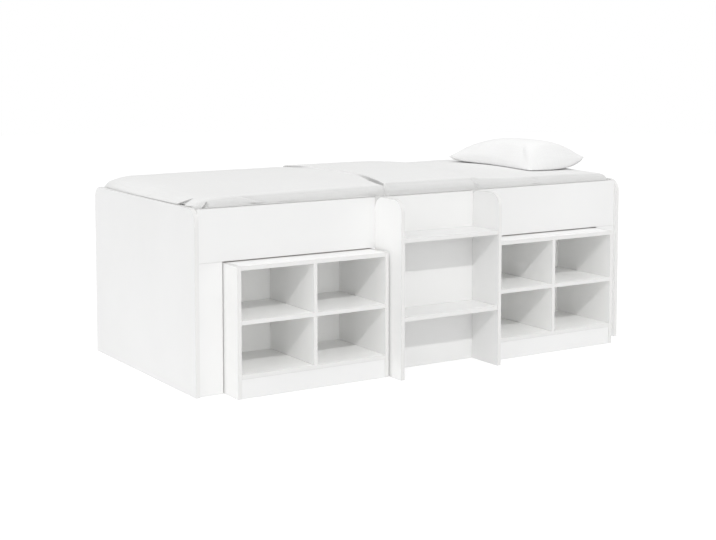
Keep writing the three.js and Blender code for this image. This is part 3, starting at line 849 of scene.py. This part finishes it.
def rounded_plan(x, off_y):
    """Rounds the corners in plan: new places, how far inside the walls they lie, and the walls' directions"""
    corner_x = np.maximum(np.abs(x) - (HALF_LENGTH - CORNER_RADIUS), 0)
    corner_y = np.maximum(np.abs(off_y) - (HALF_WIDTH - CORNER_RADIUS), 0)
    length = np.maximum(np.hypot(corner_x, corner_y), 1e-9)
    both = (corner_x > 0) & (corner_y > 0)
    scale = np.where(both, np.maximum(corner_x, corner_y) / length, 1.0)
    corner_x, corner_y = corner_x * scale, corner_y * scale
    x = np.sign(x) * (np.minimum(np.abs(x), HALF_LENGTH - CORNER_RADIUS) + corner_x)
    off_y = np.sign(off_y) * (np.minimum(np.abs(off_y), HALF_WIDTH - CORNER_RADIUS) + corner_y)
    near_corner = CORNER_RADIUS - np.hypot(corner_x, corner_y)
    inside_x, inside_y = HALF_LENGTH - np.abs(x), HALF_WIDTH - np.abs(off_y)
    inside = np.where(both, near_corner, np.minimum(inside_x, inside_y))
    out_x = np.where(both, corner_x, (inside_x < inside_y) * 1.0) * np.sign(x)
    out_y = np.where(both, corner_y, (inside_x >= inside_y) * 1.0) * np.sign(off_y)
    size = np.maximum(np.hypot(out_x, out_y), 1e-9)
    return x, off_y, inside, out_x / size, out_y / size


def soft_shoulders(x, y, z, top, inside):
    """How far the soft edges above and below draw the walls in, and the new heights"""
    share = (z - MATTRESS_UNDERSIDE) / (top - MATTRESS_UNDERSIDE)
    shoulder = SHOULDER - SHOULDER_LESS_AT_CREASE * bell(x - crease_x(y), 0.05)
    pull = np.zeros_like(x)
    for edge_z, radius, way in ((top, shoulder, 1.0), (MATTRESS_UNDERSIDE, LOW_SHOULDER, -1.0)):
        side = np.maximum(radius - inside, 0)
        rise = np.maximum(radius - (edge_z - z) * way, 0)
        length = np.maximum(np.hypot(side, rise), 1e-9)
        ratio = np.where((side > 0) & (rise > 0), np.maximum(side, rise) / length, 1.0)
        pull += side * (1 - ratio)
        z = z + way * rise * (ratio - 1)
    draw = DRAWN_IN_HIGH * share**2 + DRAWN_IN_LOW * (1 - share) ** 2
    return pull + draw * (inside < DRAWN_IN_REACH) * (1 - inside / DRAWN_IN_REACH), z


def over_the_boards(form, x, y, z, off_y):
    """Lays the cover over the tops of the rail and the end panels, furthest in the raised stretch"""
    stretch = eased(x - crease_x(y), *STRETCH_START) * (1 - eased(x, *STRETCH_END))
    height = z - RAIL_TOP - OVER_START
    rise = eased(height, 0, OVER_FULL) * (1 - SHARE_BACK_FROM_RAIL * eased(height, *BACK_FROM_RAIL))
    ends = 1 - eased(np.abs(x), HALF_LENGTH - 0.05, HALF_LENGTH - 0.01)
    reach = form.bulge * (0.5 + 0.5 * stretch) * ends
    y = y - reach * rise * bell(np.maximum(y - FRONT_Y, 0), RAIL_REACH_IN)
    height = z - PANEL_TOP - OVER_START
    rise = eased(height, 0, OVER_FULL) * (1 - eased(height, *BACK_FROM_PANEL))
    reach = np.where(x < 0, np.interp(y, FOOT_REACH_Y, FOOT_REACH), HEAD_REACH)
    reach = form.bulge * reach * (1 - eased(np.abs(off_y), HALF_WIDTH - 0.05, HALF_WIDTH - 0.02))
    x = x + np.sign(x) * reach * rise * bell(np.maximum(HALF_LENGTH - np.abs(x), 0), PANEL_REACH_IN)
    return x, y


def fold_depths(form, points, normal, inside):
    """How deep the crease, the folds and the puckers along the edges are at each point"""
    x, y, z = points.T
    from_crease = x - crease_x(y)
    in_front = 1 - eased(y, FRONT_Y + 0.004, FRONT_Y + 0.020)
    left = from_crease < 0
    width = np.where(left, CREASE_WIDTH_FOOT, CREASE_WIDTH_HEAD) * (1 - NARROWER_IN_FRONT * in_front)
    line = form.crease_depth * (1 - SHALLOWER_IN_FRONT * in_front) * bell(from_crease, width)
    line = line + SLUMP_DEPTH * left * bell(from_crease, SLUMP_WIDTH) * (1 - in_front)
    depth = np.interp(y, FADE_Y, FADE) * line * eased(z, RAIL_TOP + 0.001, RAIL_TOP + 0.010)
    for path, depths, widths in FOLDS:
        gap, along = distance_to_line(points, path)
        deep = np.interp(along, np.linspace(0, 1, len(depths)), depths)
        wide = np.interp(along, np.linspace(0, 1, len(widths)), widths)
        depth = depth + deep * bell(gap, wide)
    around = np.where(np.abs(normal[:, 0]) > np.abs(normal[:, 1]), y, x)
    near_edge = np.exp(-np.maximum(inside - 0.004, 0) / PUCKERS_REACH_IN)
    near_edge = near_edge * np.exp(-np.maximum(RAIL_TOP - 0.02 - z, 0) / PUCKERS_REACH_DOWN)
    puckers = np.array([
        noise.noise((a * 16.0, b * 3.0, c * 5.0)) + 0.5 * noise.noise((a * 34.0, b * 4.0, c * 8.0))
        for a, b, c in zip(around, inside, z)])
    uneven = np.array([noise.noise((a * 5.0, b * 6.0, 3.7)) for a, b in zip(x, y)])
    return depth + PUCKER_DEPTH * puckers * near_edge + UNEVEN_DEPTH * uneven * (normal[:, 2] > 0.3)


def clear_of_boards(points, z):
    """Keeps what lies low on the cover out of the boards round it"""
    in_length = np.clip(points[:, 0], -BAY_HIGH.x + GAP_TO_BOARDS, BAY_HIGH.x - GAP_TO_BOARDS)
    in_width = np.clip(points[:, 1], BAY_LOW.y + GAP_TO_BOARDS, BAY_HIGH.y - GAP_TO_BOARDS)
    lowest = np.where(z < PANEL_TOP, RAIL_TOP, PANEL_TOP) + GAP_TO_BOARDS / 2
    lowest = np.where(z < RAIL_TOP, MATTRESS_UNDERSIDE, lowest)
    points[:, 0] = np.where(z < PANEL_TOP, in_length, points[:, 0])
    points[:, 1] = np.where(z < RAIL_TOP, in_width, points[:, 1])
    points[:, 2] = np.maximum(points[:, 2], lowest)
    return points


def mattress_skin(form):
    """The cover's points and faces: a padded block with soft edges, one crease across it and small folds"""
    x, y, z, top, faces = cover_grid()
    x, off_y, inside, out_x, out_y = rounded_plan(x, y - BAY_MIDDLE_Y)
    pull, z = soft_shoulders(x, y, z, top, inside)
    x, y = over_the_boards(form, x - out_x * pull, BAY_MIDDLE_Y + off_y - out_y * pull, z, off_y)
    points = np.stack([x, y, z], axis=1)
    normal = point_normals(points, faces)
    depth = fold_depths(form, points, normal, inside)
    aside = normal[:, :2] + 0.3 * np.stack([out_x, out_y], axis=1)
    inward = unit(np.column_stack([aside, np.maximum(normal[:, 2], 0)]))
    points = points - inward * depth[:, None]
    for axis, corners, deepest in POCKETS:
        facing = -(out_x, out_y)[axis] * (inside < 0.03)
        points[:, axis] += deepest * in_triangle((y, x)[axis], z, corners, 0.002) * eased(facing, 0.3, 0.8)
    return clear_of_boards(points, z), faces


# Pillow

PILLOW_PLACE = (BAY_HIGH.x - 0.2013, BAY_LOW.y + 0.4201)
PILLOW_TURN = 0.042
PILLOW_GRID = (58, 84)
CLOSER_AT_ENDS = 0.35
ABOVE_COVER = 0.0012
SEAM_HEIGHT = 0.0028
SEAM_RADIUS = 0.0013
SEAM_RAISED = 0.0006
HEAD_CORNER_LIFT = 0.0596
HEAD_CORNER_HOLLOW = 0.039
REAR_CORNER_LIFT = 0.0216
# How much darker the pillow's ends are painted, as painted shade
PAINTED_SHADE_AT_ENDS = 0.85

# How far the filled case draws in at its sides and its front foot corner, and how far its ends reach out
DRAWN_IN_FOOT_SIDE = 0.018
DRAWN_IN_HEAD_SIDE = 0.009
ENDS_OUT = 0.007
CORNER_IN = 0.012

# How far the crown lies off the middle each way, and how steeply it falls
CROWN_TO_HEAD = 0.054
CROWN_TO_FRONT = 0.27
FALL_TO_SIDES = 2.12
FALL_TO_ENDS = 3.36
FULLNESS = 0.381
LESS_FULL_AT_CORNER = 0.35

# The simulation that fills the case: its frames, the most that a point moves, and its share in the shape
FILLING_FRAMES = 24
MOST_FILLED = 0.020
FILLED_SHARE = 0.4
# How thick the case is before it, each way from its seam, as a share of its filled thickness
THICK_BEFORE = 0.4


def toward_ends(count):
    """Shares from -1 to 1 that lie closer together toward both ends"""
    even = np.linspace(-1, 1, count)
    return np.sin(even * math.pi / 2) * CLOSER_AT_ENDS + even * (1 - CLOSER_AT_ENDS)


def pillow_case(across, along):
    """Two sheets joined along their edge, as shares from -1 to 1, and the points along that edge"""
    sides, ends = toward_ends(across), toward_ends(along)
    index, shares, sheet = {}, [], []
    for side in (1, -1):
        for i in range(across):
            for j in range(along):
                edge = i in (0, across - 1) or j in (0, along - 1)
                if edge and side < 0:
                    index[i, j, -1] = index[i, j, 1]
                    continue
                index[i, j, side] = len(shares)
                shares.append((sides[i], ends[j]))
                sheet.append(0 if edge else side)
    faces = []
    for i in range(across - 1):
        for j in range(along - 1):
            around = [(i, j), (i + 1, j), (i + 1, j + 1), (i, j + 1)]
            faces.append(tuple(index[a, b, 1] for a, b in around))
            faces.append(tuple(index[a, b, -1] for a, b in around[:1] + around[:0:-1]))
    rim = [(i, 0) for i in range(across)] + [(across - 1, j) for j in range(1, along)]
    rim += [(i, along - 1) for i in range(across - 2, -1, -1)] + [(0, j) for j in range(along - 2, 0, -1)]
    return np.array(shares), np.array(sheet), faces, [index[i, j, 1] for i, j in rim]


def blown_up(points, faces, pressure):
    """The case after a cloth simulation that fills it, with no point moved further than its limit"""
    mesh = bpy.data.meshes.new("pillow_trial")
    mesh.from_pydata([tuple(point) for point in points], [], faces)
    trial = bpy.data.objects.new("pillow_trial", mesh)
    scene = bpy.context.scene
    scene.collection.objects.link(trial)
    cloth = trial.modifiers.new("Cloth", "CLOTH")
    settings = cloth.settings
    settings.quality = 6
    settings.mass = 0.2
    settings.tension_stiffness = 20
    settings.compression_stiffness = 20
    settings.shear_stiffness = 8
    settings.bending_stiffness = 0.3
    settings.use_pressure = True
    settings.uniform_pressure_force = pressure
    settings.effector_weights.gravity = 0
    cloth.collision_settings.use_collision = False
    cloth.point_cache.frame_start = 1
    cloth.point_cache.frame_end = FILLING_FRAMES
    for step in range(1, FILLING_FRAMES + 1):
        scene.frame_set(step)
    shown = trial.evaluated_get(bpy.context.evaluated_depsgraph_get())
    settled = np.array([vertex.co[:] for vertex in shown.data.vertices])
    scene.frame_set(1)
    bpy.data.objects.remove(trial)
    bpy.data.meshes.remove(mesh)
    moved = settled - points
    length = np.maximum(np.linalg.norm(moved, axis=1, keepdims=True), 1e-9)
    return points + moved * np.minimum(1.0, MOST_FILLED / length)


def at_corner(side, end):
    """1 at the corner where both shares are -1, and 0 along the two edges that don't meet there"""
    return (1 - side) / 2 * (1 - end) / 2


def pillow_points(form):
    """The filled pillow where it lies, its faces, and the points along its seam"""
    shares, sheet, faces, rim = pillow_case(*PILLOW_GRID)
    side, end = shares.T
    drawn_in = np.where(side < 0, DRAWN_IN_FOOT_SIDE, DRAWN_IN_HEAD_SIDE) * (1 - end**2)
    near_corner = CORNER_IN * at_corner(side, end) ** 8
    flat_x = side * (form.width / 2 - drawn_in) + near_corner
    flat_y = end * (form.length / 2 + ENDS_OUT * (1 - side**2)) + near_corner
    crown = 1 - np.abs(side - CROWN_TO_HEAD * (1 - side**2)) ** FALL_TO_SIDES
    crown = crown * (1 - np.abs(end + CROWN_TO_FRONT * (1 - end**2)) ** FALL_TO_ENDS)
    fill = np.maximum(crown, 0) ** (FULLNESS + LESS_FULL_AT_CORNER * at_corner(side, end) ** 2)
    points = np.stack([flat_x, flat_y, sheet * form.thickness * THICK_BEFORE * fill], axis=1)
    moved = blown_up(points, faces, form.pressure) - points
    puffed = np.abs(points[:, 2] + moved[:, 2])
    fill = (1 - FILLED_SHARE) * fill + FILLED_SHARE * puffed / puffed.max()
    points = points + FILLED_SHARE * moved * ((1 - side**6) * (1 - end**6))[:, None]
    x = points[:, 0] * math.cos(PILLOW_TURN) - points[:, 1] * math.sin(PILLOW_TURN) + PILLOW_PLACE[0]
    y = points[:, 0] * math.sin(PILLOW_TURN) + points[:, 1] * math.cos(PILLOW_TURN) + PILLOW_PLACE[1]
    rest = mattress_top(x, y) + ABOVE_COVER
    lift = HEAD_CORNER_LIFT * at_corner(-side, end) ** 4.2 + REAR_CORNER_LIFT * at_corner(side, -end) ** 6
    above = rest + SEAM_HEIGHT + lift * (1 - fill) + (form.thickness - SEAM_HEIGHT) * fill
    hollow = HEAD_CORNER_HOLLOW * at_corner(-side, end) ** 5
    under = rest + hollow + (SEAM_HEIGHT + lift - hollow) * (1 - np.minimum(1, 2 * fill))
    z = np.where(sheet > 0, above, np.where(sheet < 0, under, rest + SEAM_HEIGHT + lift))
    return np.stack([x, y, np.maximum(z, rest)], axis=1), faces, rim


def tube(points, radius, sides):
    """A closed round cord along a ring of points"""
    ahead = unit(np.roll(points, -1, axis=0) - np.roll(points, 1, axis=0))
    aside = unit(np.cross(ahead, (0.0, 0.0, 1.0)))
    upward = np.cross(aside, ahead)
    rows = []
    for turn in np.arange(sides) * 2 * math.pi / sides:
        rows.append(points + radius * (math.cos(turn) * aside + math.sin(turn) * upward))
    faces = []
    for step in range(len(points)):
        here, after = step * sides, (step + 1) % len(points) * sides
        for turn in range(sides):
            beside = (turn + 1) % sides
            faces.append((here + turn, after + turn, after + beside, here + beside))
    return np.stack(rows, axis=1).reshape(-1, 3), faces


# Screws

# The outlines of screw heads from the edge inwards, as shares of their radius and height
COUNTERSUNK = [(0.94, 0.0), (1.0, 0.85), (0.97, 1.0), (0.5, 1.0)]
PAN = [(1.0, 0.0), (1.0, 0.25), (0.9, 0.62), (0.72, 0.86), (0.5, 1.0)]
SCREW_SIDES = 32
# The cross recess, as shares of the head: its middle, its arms, how much narrower and how high its floor is
RECESS_MIDDLE = 0.14
RECESS_ARMS = 0.3
RECESS_TAPER = 0.72
RECESS_FLOOR = 0.25
TURN_OF_NEXT_SCREW = 0.83

SLAT_SCREW_HEIGHT = 0.0008
SLAT_SCREW_SUNK = 0.0007
ANGLE_SCREW_HEIGHT = 0.0022
ANGLE_THICKNESS = 0.002
ANGLE_HOLES = (0.02, 0.03)

# How far the growth rings' middle lies beside a slat at most and below it at least, and how far apart in
# the same wood two slats are cut
PITH_ASIDE = 0.055
PITH_BELOW = 0.02
PITH_LOWER_EACH = 0.006
CUT_APART = 3.7
# The same for the battens, with the rings' middle beside them and above their underside
BATTEN_PITH_ASIDE = 0.03
BATTEN_PITH_UP = 0.055
BATTEN_CUT_APART = 11.3


def screw_head(outline, radius, height):
    """Points and faces of one head with a cross recess, standing on the origin and facing +Z"""
    turns = 2 * math.pi * np.arange(SCREW_SIDES) / SCREW_SIDES
    recess = RECESS_MIDDLE + RECESS_ARMS * np.abs(np.cos(2 * turns)) ** 6
    rings = outline + [(recess, 1.0), (RECESS_TAPER * recess, RECESS_FLOOR)]
    points = []
    for share, level in rings:
        reach = radius * share
        points += zip(reach * np.cos(turns), reach * np.sin(turns), [height * level] * SCREW_SIDES)
    faces = []
    for first in range(0, SCREW_SIDES * (len(rings) - 1), SCREW_SIDES):
        for step in range(SCREW_SIDES):
            low, beside = first + step, first + (step + 1) % SCREW_SIDES
            faces.append((low, beside, beside + SCREW_SIDES, low + SCREW_SIDES))
    faces.append(tuple(range(len(points) - SCREW_SIDES, len(points))))
    faces.append(tuple(reversed(range(SCREW_SIDES))))
    return points, faces


def set_of_heads(places, head):
    """Points and faces of one head at several places, each facing its own way and turned a little more"""
    points, faces = head
    all_points, all_faces = [], []
    for number, (spot, facing) in enumerate(places):
        turn = Vector(facing).to_track_quat("Z", "Y").to_matrix()
        turn = turn @ Matrix.Rotation(TURN_OF_NEXT_SCREW * number, 3, "Z")
        offset = len(all_points)
        all_points += [Vector(spot) + turn @ Vector(point) for point in points]
        all_faces += [tuple(index + offset for index in face) for face in faces]
    return all_points, all_faces


# Operators


def board_shade_kind(name):
    """Which lighter or darker copy of the one white a board gets, to paint in the light and shade that falls
    on it
    """
    if name.endswith("_end_panel"):
        return "panel"
    if name == "step_back":
        return "step_back"
    if name == "step_side_foot":
        return "step_side"
    if name in ("step_side_head", "lower_tread") or name.endswith("_bookcase_top"):
        return "step"
    if "_bookcase_" in name and not name.endswith("_plinth"):
        return "bookcase"
    return "rail"


class LOFTBED_OT_boards(bpy.types.Operator):
    """Finish the white boards with broken arrises, edging and a pearl grain, each kind's white lighter or
    darker as painted light and shade
    """

    bl_idname = "loft_bed.boards"
    bl_label = "White boards"

    def execute(self, context):
        finish = context.scene.loft_bed_boards
        materials = {}
        # One material per kind of board, each a lighter or darker copy of the same white, as painted light
        # and shade
        for kind in ("rail", "panel", "step", "step_side", "step_back", "bookcase"):
            materials[kind] = board_material(kind + "_board_shaded_white", getattr(finish, kind), finish)
        for name in BOARDS:
            holder = dress(name, materials[board_shade_kind(name)])
            low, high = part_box(name)
            size = high - low
            thin = min(range(3), key=lambda axis: size[axis])
            holder["board_low"] = tuple(low)
            holder["board_high"] = tuple(high)
            holder["board_across"] = tuple(1.0 if axis == thin else 0.0 for axis in range(3))
            holder["board_round"] = ROUND_CORNER_RADIUS if name in ROUND_PANELS else 0.0
            break_arrises(holder, finish.arris)
        return {"FINISHED"}


class LOFTBED_OT_bookcase_backs(bpy.types.Operator):
    """Finish the thin backs of both bookcases"""

    bl_idname = "loft_bed.bookcase_backs"
    bl_label = "Bookcase backs"

    def execute(self, context):
        material = back_material(context.scene.loft_bed_boards)
        for name in BACKS:
            dress(name, material)
        return {"FINISHED"}


class LOFTBED_OT_slatted_base(bpy.types.Operator):
    """Finish the pine slats and battens, and screw the slats down"""

    bl_idname = "loft_bed.slatted_base"
    bl_label = "Slatted base"

    def execute(self, context):
        timber = context.scene.loft_bed_timber
        across = pine_material("pine_slat_finish", timber, (1.0, 0.07, 1.0))
        along = pine_material("pine_batten_finish", timber, (0.07, 1.0, 1.0))
        places = []
        for number, name in enumerate(SLATS):
            low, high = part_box(name)
            middle_x = (low.x + high.x) / 2
            aside = PITH_ASIDE * math.sin(number * 2.4)
            below = PITH_BELOW + PITH_LOWER_EACH * (number % 5)
            dress(name, across)["grain_shift"] = (aside - middle_x, CUT_APART * number, below - low.z)
            for bearer in BEARERS:
                under_low, under_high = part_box(bearer)
                spot = (middle_x, (under_low.y + under_high.y) / 2, high.z - SLAT_SCREW_SUNK)
                places.append((spot, (0, 0, 1)))
        for number, name in enumerate(BEARERS):
            low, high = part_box(name)
            aside = BATTEN_PITH_ASIDE - (low.y + high.y) / 2
            upward = -BATTEN_PITH_UP * (number + 0.4)
            dress(name, along)["grain_shift"] = (BATTEN_CUT_APART * number, aside, upward - low.z)
        head = screw_head(COUNTERSUNK, context.scene.loft_bed_steel.screw_head / 2, SLAT_SCREW_HEIGHT)
        points, faces = set_of_heads(places, head)
        new_piece("slat_screws", points, faces, zinc(context), "bed_frame", smooth=False)
        return {"FINISHED"}


class LOFTBED_OT_steel_angles(bpy.types.Operator):
    """Finish the steel angles and put pan head screws through their holes"""

    bl_idname = "loft_bed.steel_angles"
    bl_label = "Steel angles"

    def execute(self, context):
        places = []
        for name in ANGLES:
            dress(name, zinc(context))
            low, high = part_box(name)
            way_x, corner_x = (1, low.x) if low.x < 0 else (-1, high.x)
            way_y, corner_y = (1, low.y) if low.y < 0 else (-1, high.y)
            corner = Vector((corner_x, corner_y, (low.z + high.z) / 2))
            for along in ANGLE_HOLES:
                on_rail = corner + Vector((way_x * along, way_y * ANGLE_THICKNESS, 0))
                on_panel = corner + Vector((way_x * ANGLE_THICKNESS, way_y * along, 0))
                places += [(on_rail, (0, way_y, 0)), (on_panel, (way_x, 0, 0))]
        head = screw_head(PAN, context.scene.loft_bed_steel.screw_head / 2, ANGLE_SCREW_HEIGHT)
        points, faces = set_of_heads(places, head)
        new_piece("angle_screws", points, faces, zinc(context), "bed_frame", smooth=False)
        return {"FINISHED"}


class LOFTBED_OT_mattress(bpy.types.Operator):
    """Make the mattress in its cover, with its crease and folds"""

    bl_idname = "loft_bed.mattress"
    bl_label = "Mattress"

    def execute(self, context):
        form = context.scene.loft_bed_mattress
        points, faces = mattress_skin(form)
        material = cloth_material("mattress_cover_cloth", form.cover, form.side_shade_colour, form.thread, 0.15)
        piece = new_piece("mattress_in_cover", points, faces, material, "mattress")
        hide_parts("mattress")
        return {"FINISHED"}


class LOFTBED_OT_pillow(bpy.types.Operator):
    """Make the pillow, filled by a short simulation, and its seam"""

    bl_idname = "loft_bed.pillow"
    bl_label = "Pillow"

    def execute(self, context):
        form = context.scene.loft_bed_pillow
        points, faces, rim = pillow_points(form)
        # Painted shade: the ends that face front and rear get a darker copy of the cotton
        ends = [PAINTED_SHADE_AT_ENDS * value for value in form.cotton]
        material = cloth_material("pillow_cotton_cloth", form.cotton, ends, form.thread, 0.12)
        piece = new_piece("pillow_in_case", points, faces, material, "pillow")
        smoother = piece.modifiers.new("Smoother", "SUBSURF")
        smoother.levels = 1
        smoother.render_levels = 1
        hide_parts("pillow")
        cord = points[rim] + np.array([0, 0, SEAM_RAISED])
        seam_points, seam_faces = tube(cord, SEAM_RADIUS, 6)
        new_piece("pillow_seam", seam_points, seam_faces, material, "pillow")
        return {"FINISHED"}


# Where the picture is taken from, and where its light comes from
CAMERA_PLACE = (-3.1936, -4.9154, 1.2942)
CAMERA_TURN = (math.radians(84.722), 0.0, math.radians(-32.337))
CAMERA_SHIFT = -0.1397
TO_KEY_LIGHT = Vector((-0.45, -1.0, 0.871)).normalized()
KEY_LIGHT_WIDTH = math.radians(2)
TO_FRONT_LIGHT = Vector((-0.15, -0.98, 0.1)).normalized()
FRONT_LIGHT_NARROWING = 20.0

FLOOR_RADIUS = 14.0
FLOOR_DROP = 0.0004
FLOOR_GLOW = 1.1
FLOOR_GLOW_SHARE = 0.72
WHITE = (1.0, 1.0, 1.0, 1.0)


class LOFTBED_OT_studio(bpy.types.Operator):
    """Make the floor, the light and the camera"""

    bl_idname = "loft_bed.studio"
    bl_label = "Studio"

    def execute(self, context):
        studio = context.scene.loft_bed_studio
        scene = context.scene
        scene.view_settings.view_transform = "Standard"

        camera = bpy.data.cameras.new("camera")
        camera.sensor_width = 36.0
        camera.lens = studio.lens
        camera.shift_y = CAMERA_SHIFT
        camera.clip_end = 100.0
        holder = bpy.data.objects.new("camera", camera)
        holder.location = CAMERA_PLACE
        holder.rotation_euler = CAMERA_TURN
        scene.collection.objects.link(holder)
        scene.camera = holder

        lamp = bpy.data.lights.new("key", "SUN")
        lamp.energy = studio.key
        lamp.angle = KEY_LIGHT_WIDTH
        lamp_holder = bpy.data.objects.new("key", lamp)
        lamp_holder.rotation_mode = "QUATERNION"
        lamp_holder.rotation_quaternion = TO_KEY_LIGHT.to_track_quat("Z", "Y")
        scene.collection.objects.link(lamp_holder)

        surround(scene, studio)
        floor(studio)
        return {"FINISHED"}


def shown_itself(tree):
    """1 where the camera sees something itself, mirrored or through glass, and 0 where it only gives light"""
    path = place(tree, "ShaderNodeLightPath")
    shown = calc(tree, "MAXIMUM", path.outputs["Is Camera Ray"], path.outputs["Is Glossy Ray"])
    return calc(tree, "MAXIMUM", shown, path.outputs["Is Transmission Ray"])


def surround(scene, studio):
    """Soft light from all round, stronger above, on the left and low in front, and a white background"""
    world = bpy.data.worlds.new("studio")
    world.use_nodes = True
    scene.world = world
    tree = world.node_tree
    tree.nodes.clear()
    direction = place(tree, "ShaderNodeTexCoord").outputs["Generated"]
    x, _, z = parts_of(tree, direction)
    towards = place(tree, "ShaderNodeVectorMath", {0: direction, 1: TO_FRONT_LIGHT}, operation="DOT_PRODUCT")
    ahead = calc(tree, "MAXIMUM", towards.outputs["Value"], 0.0)
    ahead = calc(tree, "POWER", ahead, FRONT_LIGHT_NARROWING)
    level = plus(tree, times(tree, ahead, studio.front), studio.around)
    for share, strength in ((z, studio.above), (times(tree, x, -1.0), studio.left)):
        level = plus(tree, level, times(tree, calc(tree, "MAXIMUM", share, 0.0), strength))
    light = place(tree, "ShaderNodeBackground", {"Color": WHITE, "Strength": level})
    seen = place(tree, "ShaderNodeBackground", {"Color": WHITE, "Strength": 1.0})
    chosen = place(tree, "ShaderNodeMixShader", {
        0: shown_itself(tree), 1: light.outputs[0], 2: seen.outputs[0]})
    place(tree, "ShaderNodeOutputWorld", {"Surface": chosen.outputs[0]})


def floor(studio):
    """A wide floor that looks white to the camera and keeps a soft shadow"""
    shape = bmesh.new()
    bmesh.ops.create_circle(shape, cap_ends=True, radius=FLOOR_RADIUS, segments=96)
    mesh = bpy.data.meshes.new("floor")
    shape.to_mesh(mesh)
    shape.free()
    ground = bpy.data.objects.new("floor", mesh)
    ground.location.z = -FLOOR_DROP
    bpy.context.scene.collection.objects.link(ground)
    material = bpy.data.materials.new("floor_paint")
    material.use_nodes = True
    tree = material.node_tree
    shader = tree.nodes["Principled BSDF"]
    shader.inputs["Base Color"].default_value = colour(studio.floor)
    shader.inputs["Roughness"].default_value = 0.9
    shader.inputs["Specular IOR Level"].default_value = 0.0
    glow = place(tree, "ShaderNodeEmission", {"Color": WHITE, "Strength": FLOOR_GLOW})
    share = times(tree, shown_itself(tree), FLOOR_GLOW_SHARE)
    both = place(tree, "ShaderNodeMixShader", {0: share, 1: shader.outputs[0], 2: glow.outputs[0]})
    feed(tree, tree.nodes["Material Output"].inputs["Surface"], both.outputs[0])
    mesh.materials.append(material)


class LOFTBED_PT_panel(bpy.types.Panel):
    """Everything that makes up the bed, one button each"""

    bl_label = "Loft Bed"
    bl_idname = "LOFTBED_PT_panel"
    bl_space_type = "VIEW_3D"
    bl_region_type = "UI"
    bl_category = "Loft Bed"

    def draw(self, context):
        for operator in OPERATORS:
            self.layout.operator(operator.bl_idname)
        for name in SETTINGS:
            box = self.layout.box()
            group = getattr(context.scene, name)
            for key in group.__annotations__:
                box.prop(group, key)


OPERATORS = [
    LOFTBED_OT_studio,
    LOFTBED_OT_boards,
    LOFTBED_OT_bookcase_backs,
    LOFTBED_OT_slatted_base,
    LOFTBED_OT_steel_angles,
    LOFTBED_OT_mattress,
    LOFTBED_OT_pillow,
]
SETTINGS = {
    "loft_bed_boards": BoardShadeAndFinish,
    "loft_bed_timber": TimberFinish,
    "loft_bed_steel": SteelFinish,
    "loft_bed_mattress": MattressForm,
    "loft_bed_pillow": PillowForm,
    "loft_bed_studio": Studio,
}


def register():
    """Registers the settings, operators and panel"""
    for name, group in SETTINGS.items():
        bpy.utils.register_class(group)
        setattr(bpy.types.Scene, name, bpy.props.PointerProperty(type=group))
    for operator in OPERATORS:
        bpy.utils.register_class(operator)
    bpy.utils.register_class(LOFTBED_PT_panel)


def unregister():
    """Takes them away again"""
    bpy.utils.unregister_class(LOFTBED_PT_panel)
    for operator in reversed(OPERATORS):
        bpy.utils.unregister_class(operator)
    for name, group in SETTINGS.items():
        delattr(bpy.types.Scene, name)
        bpy.utils.unregister_class(group)


def main():
    """Makes the whole bed"""
    register()
    bpy.ops.loft_bed.studio()
    bpy.ops.loft_bed.boards()
    bpy.ops.loft_bed.bookcase_backs()
    bpy.ops.loft_bed.slatted_base()
    bpy.ops.loft_bed.steel_angles()
    bpy.ops.loft_bed.mattress()
    bpy.ops.loft_bed.pillow()


if __name__ == "__main__":
    main()
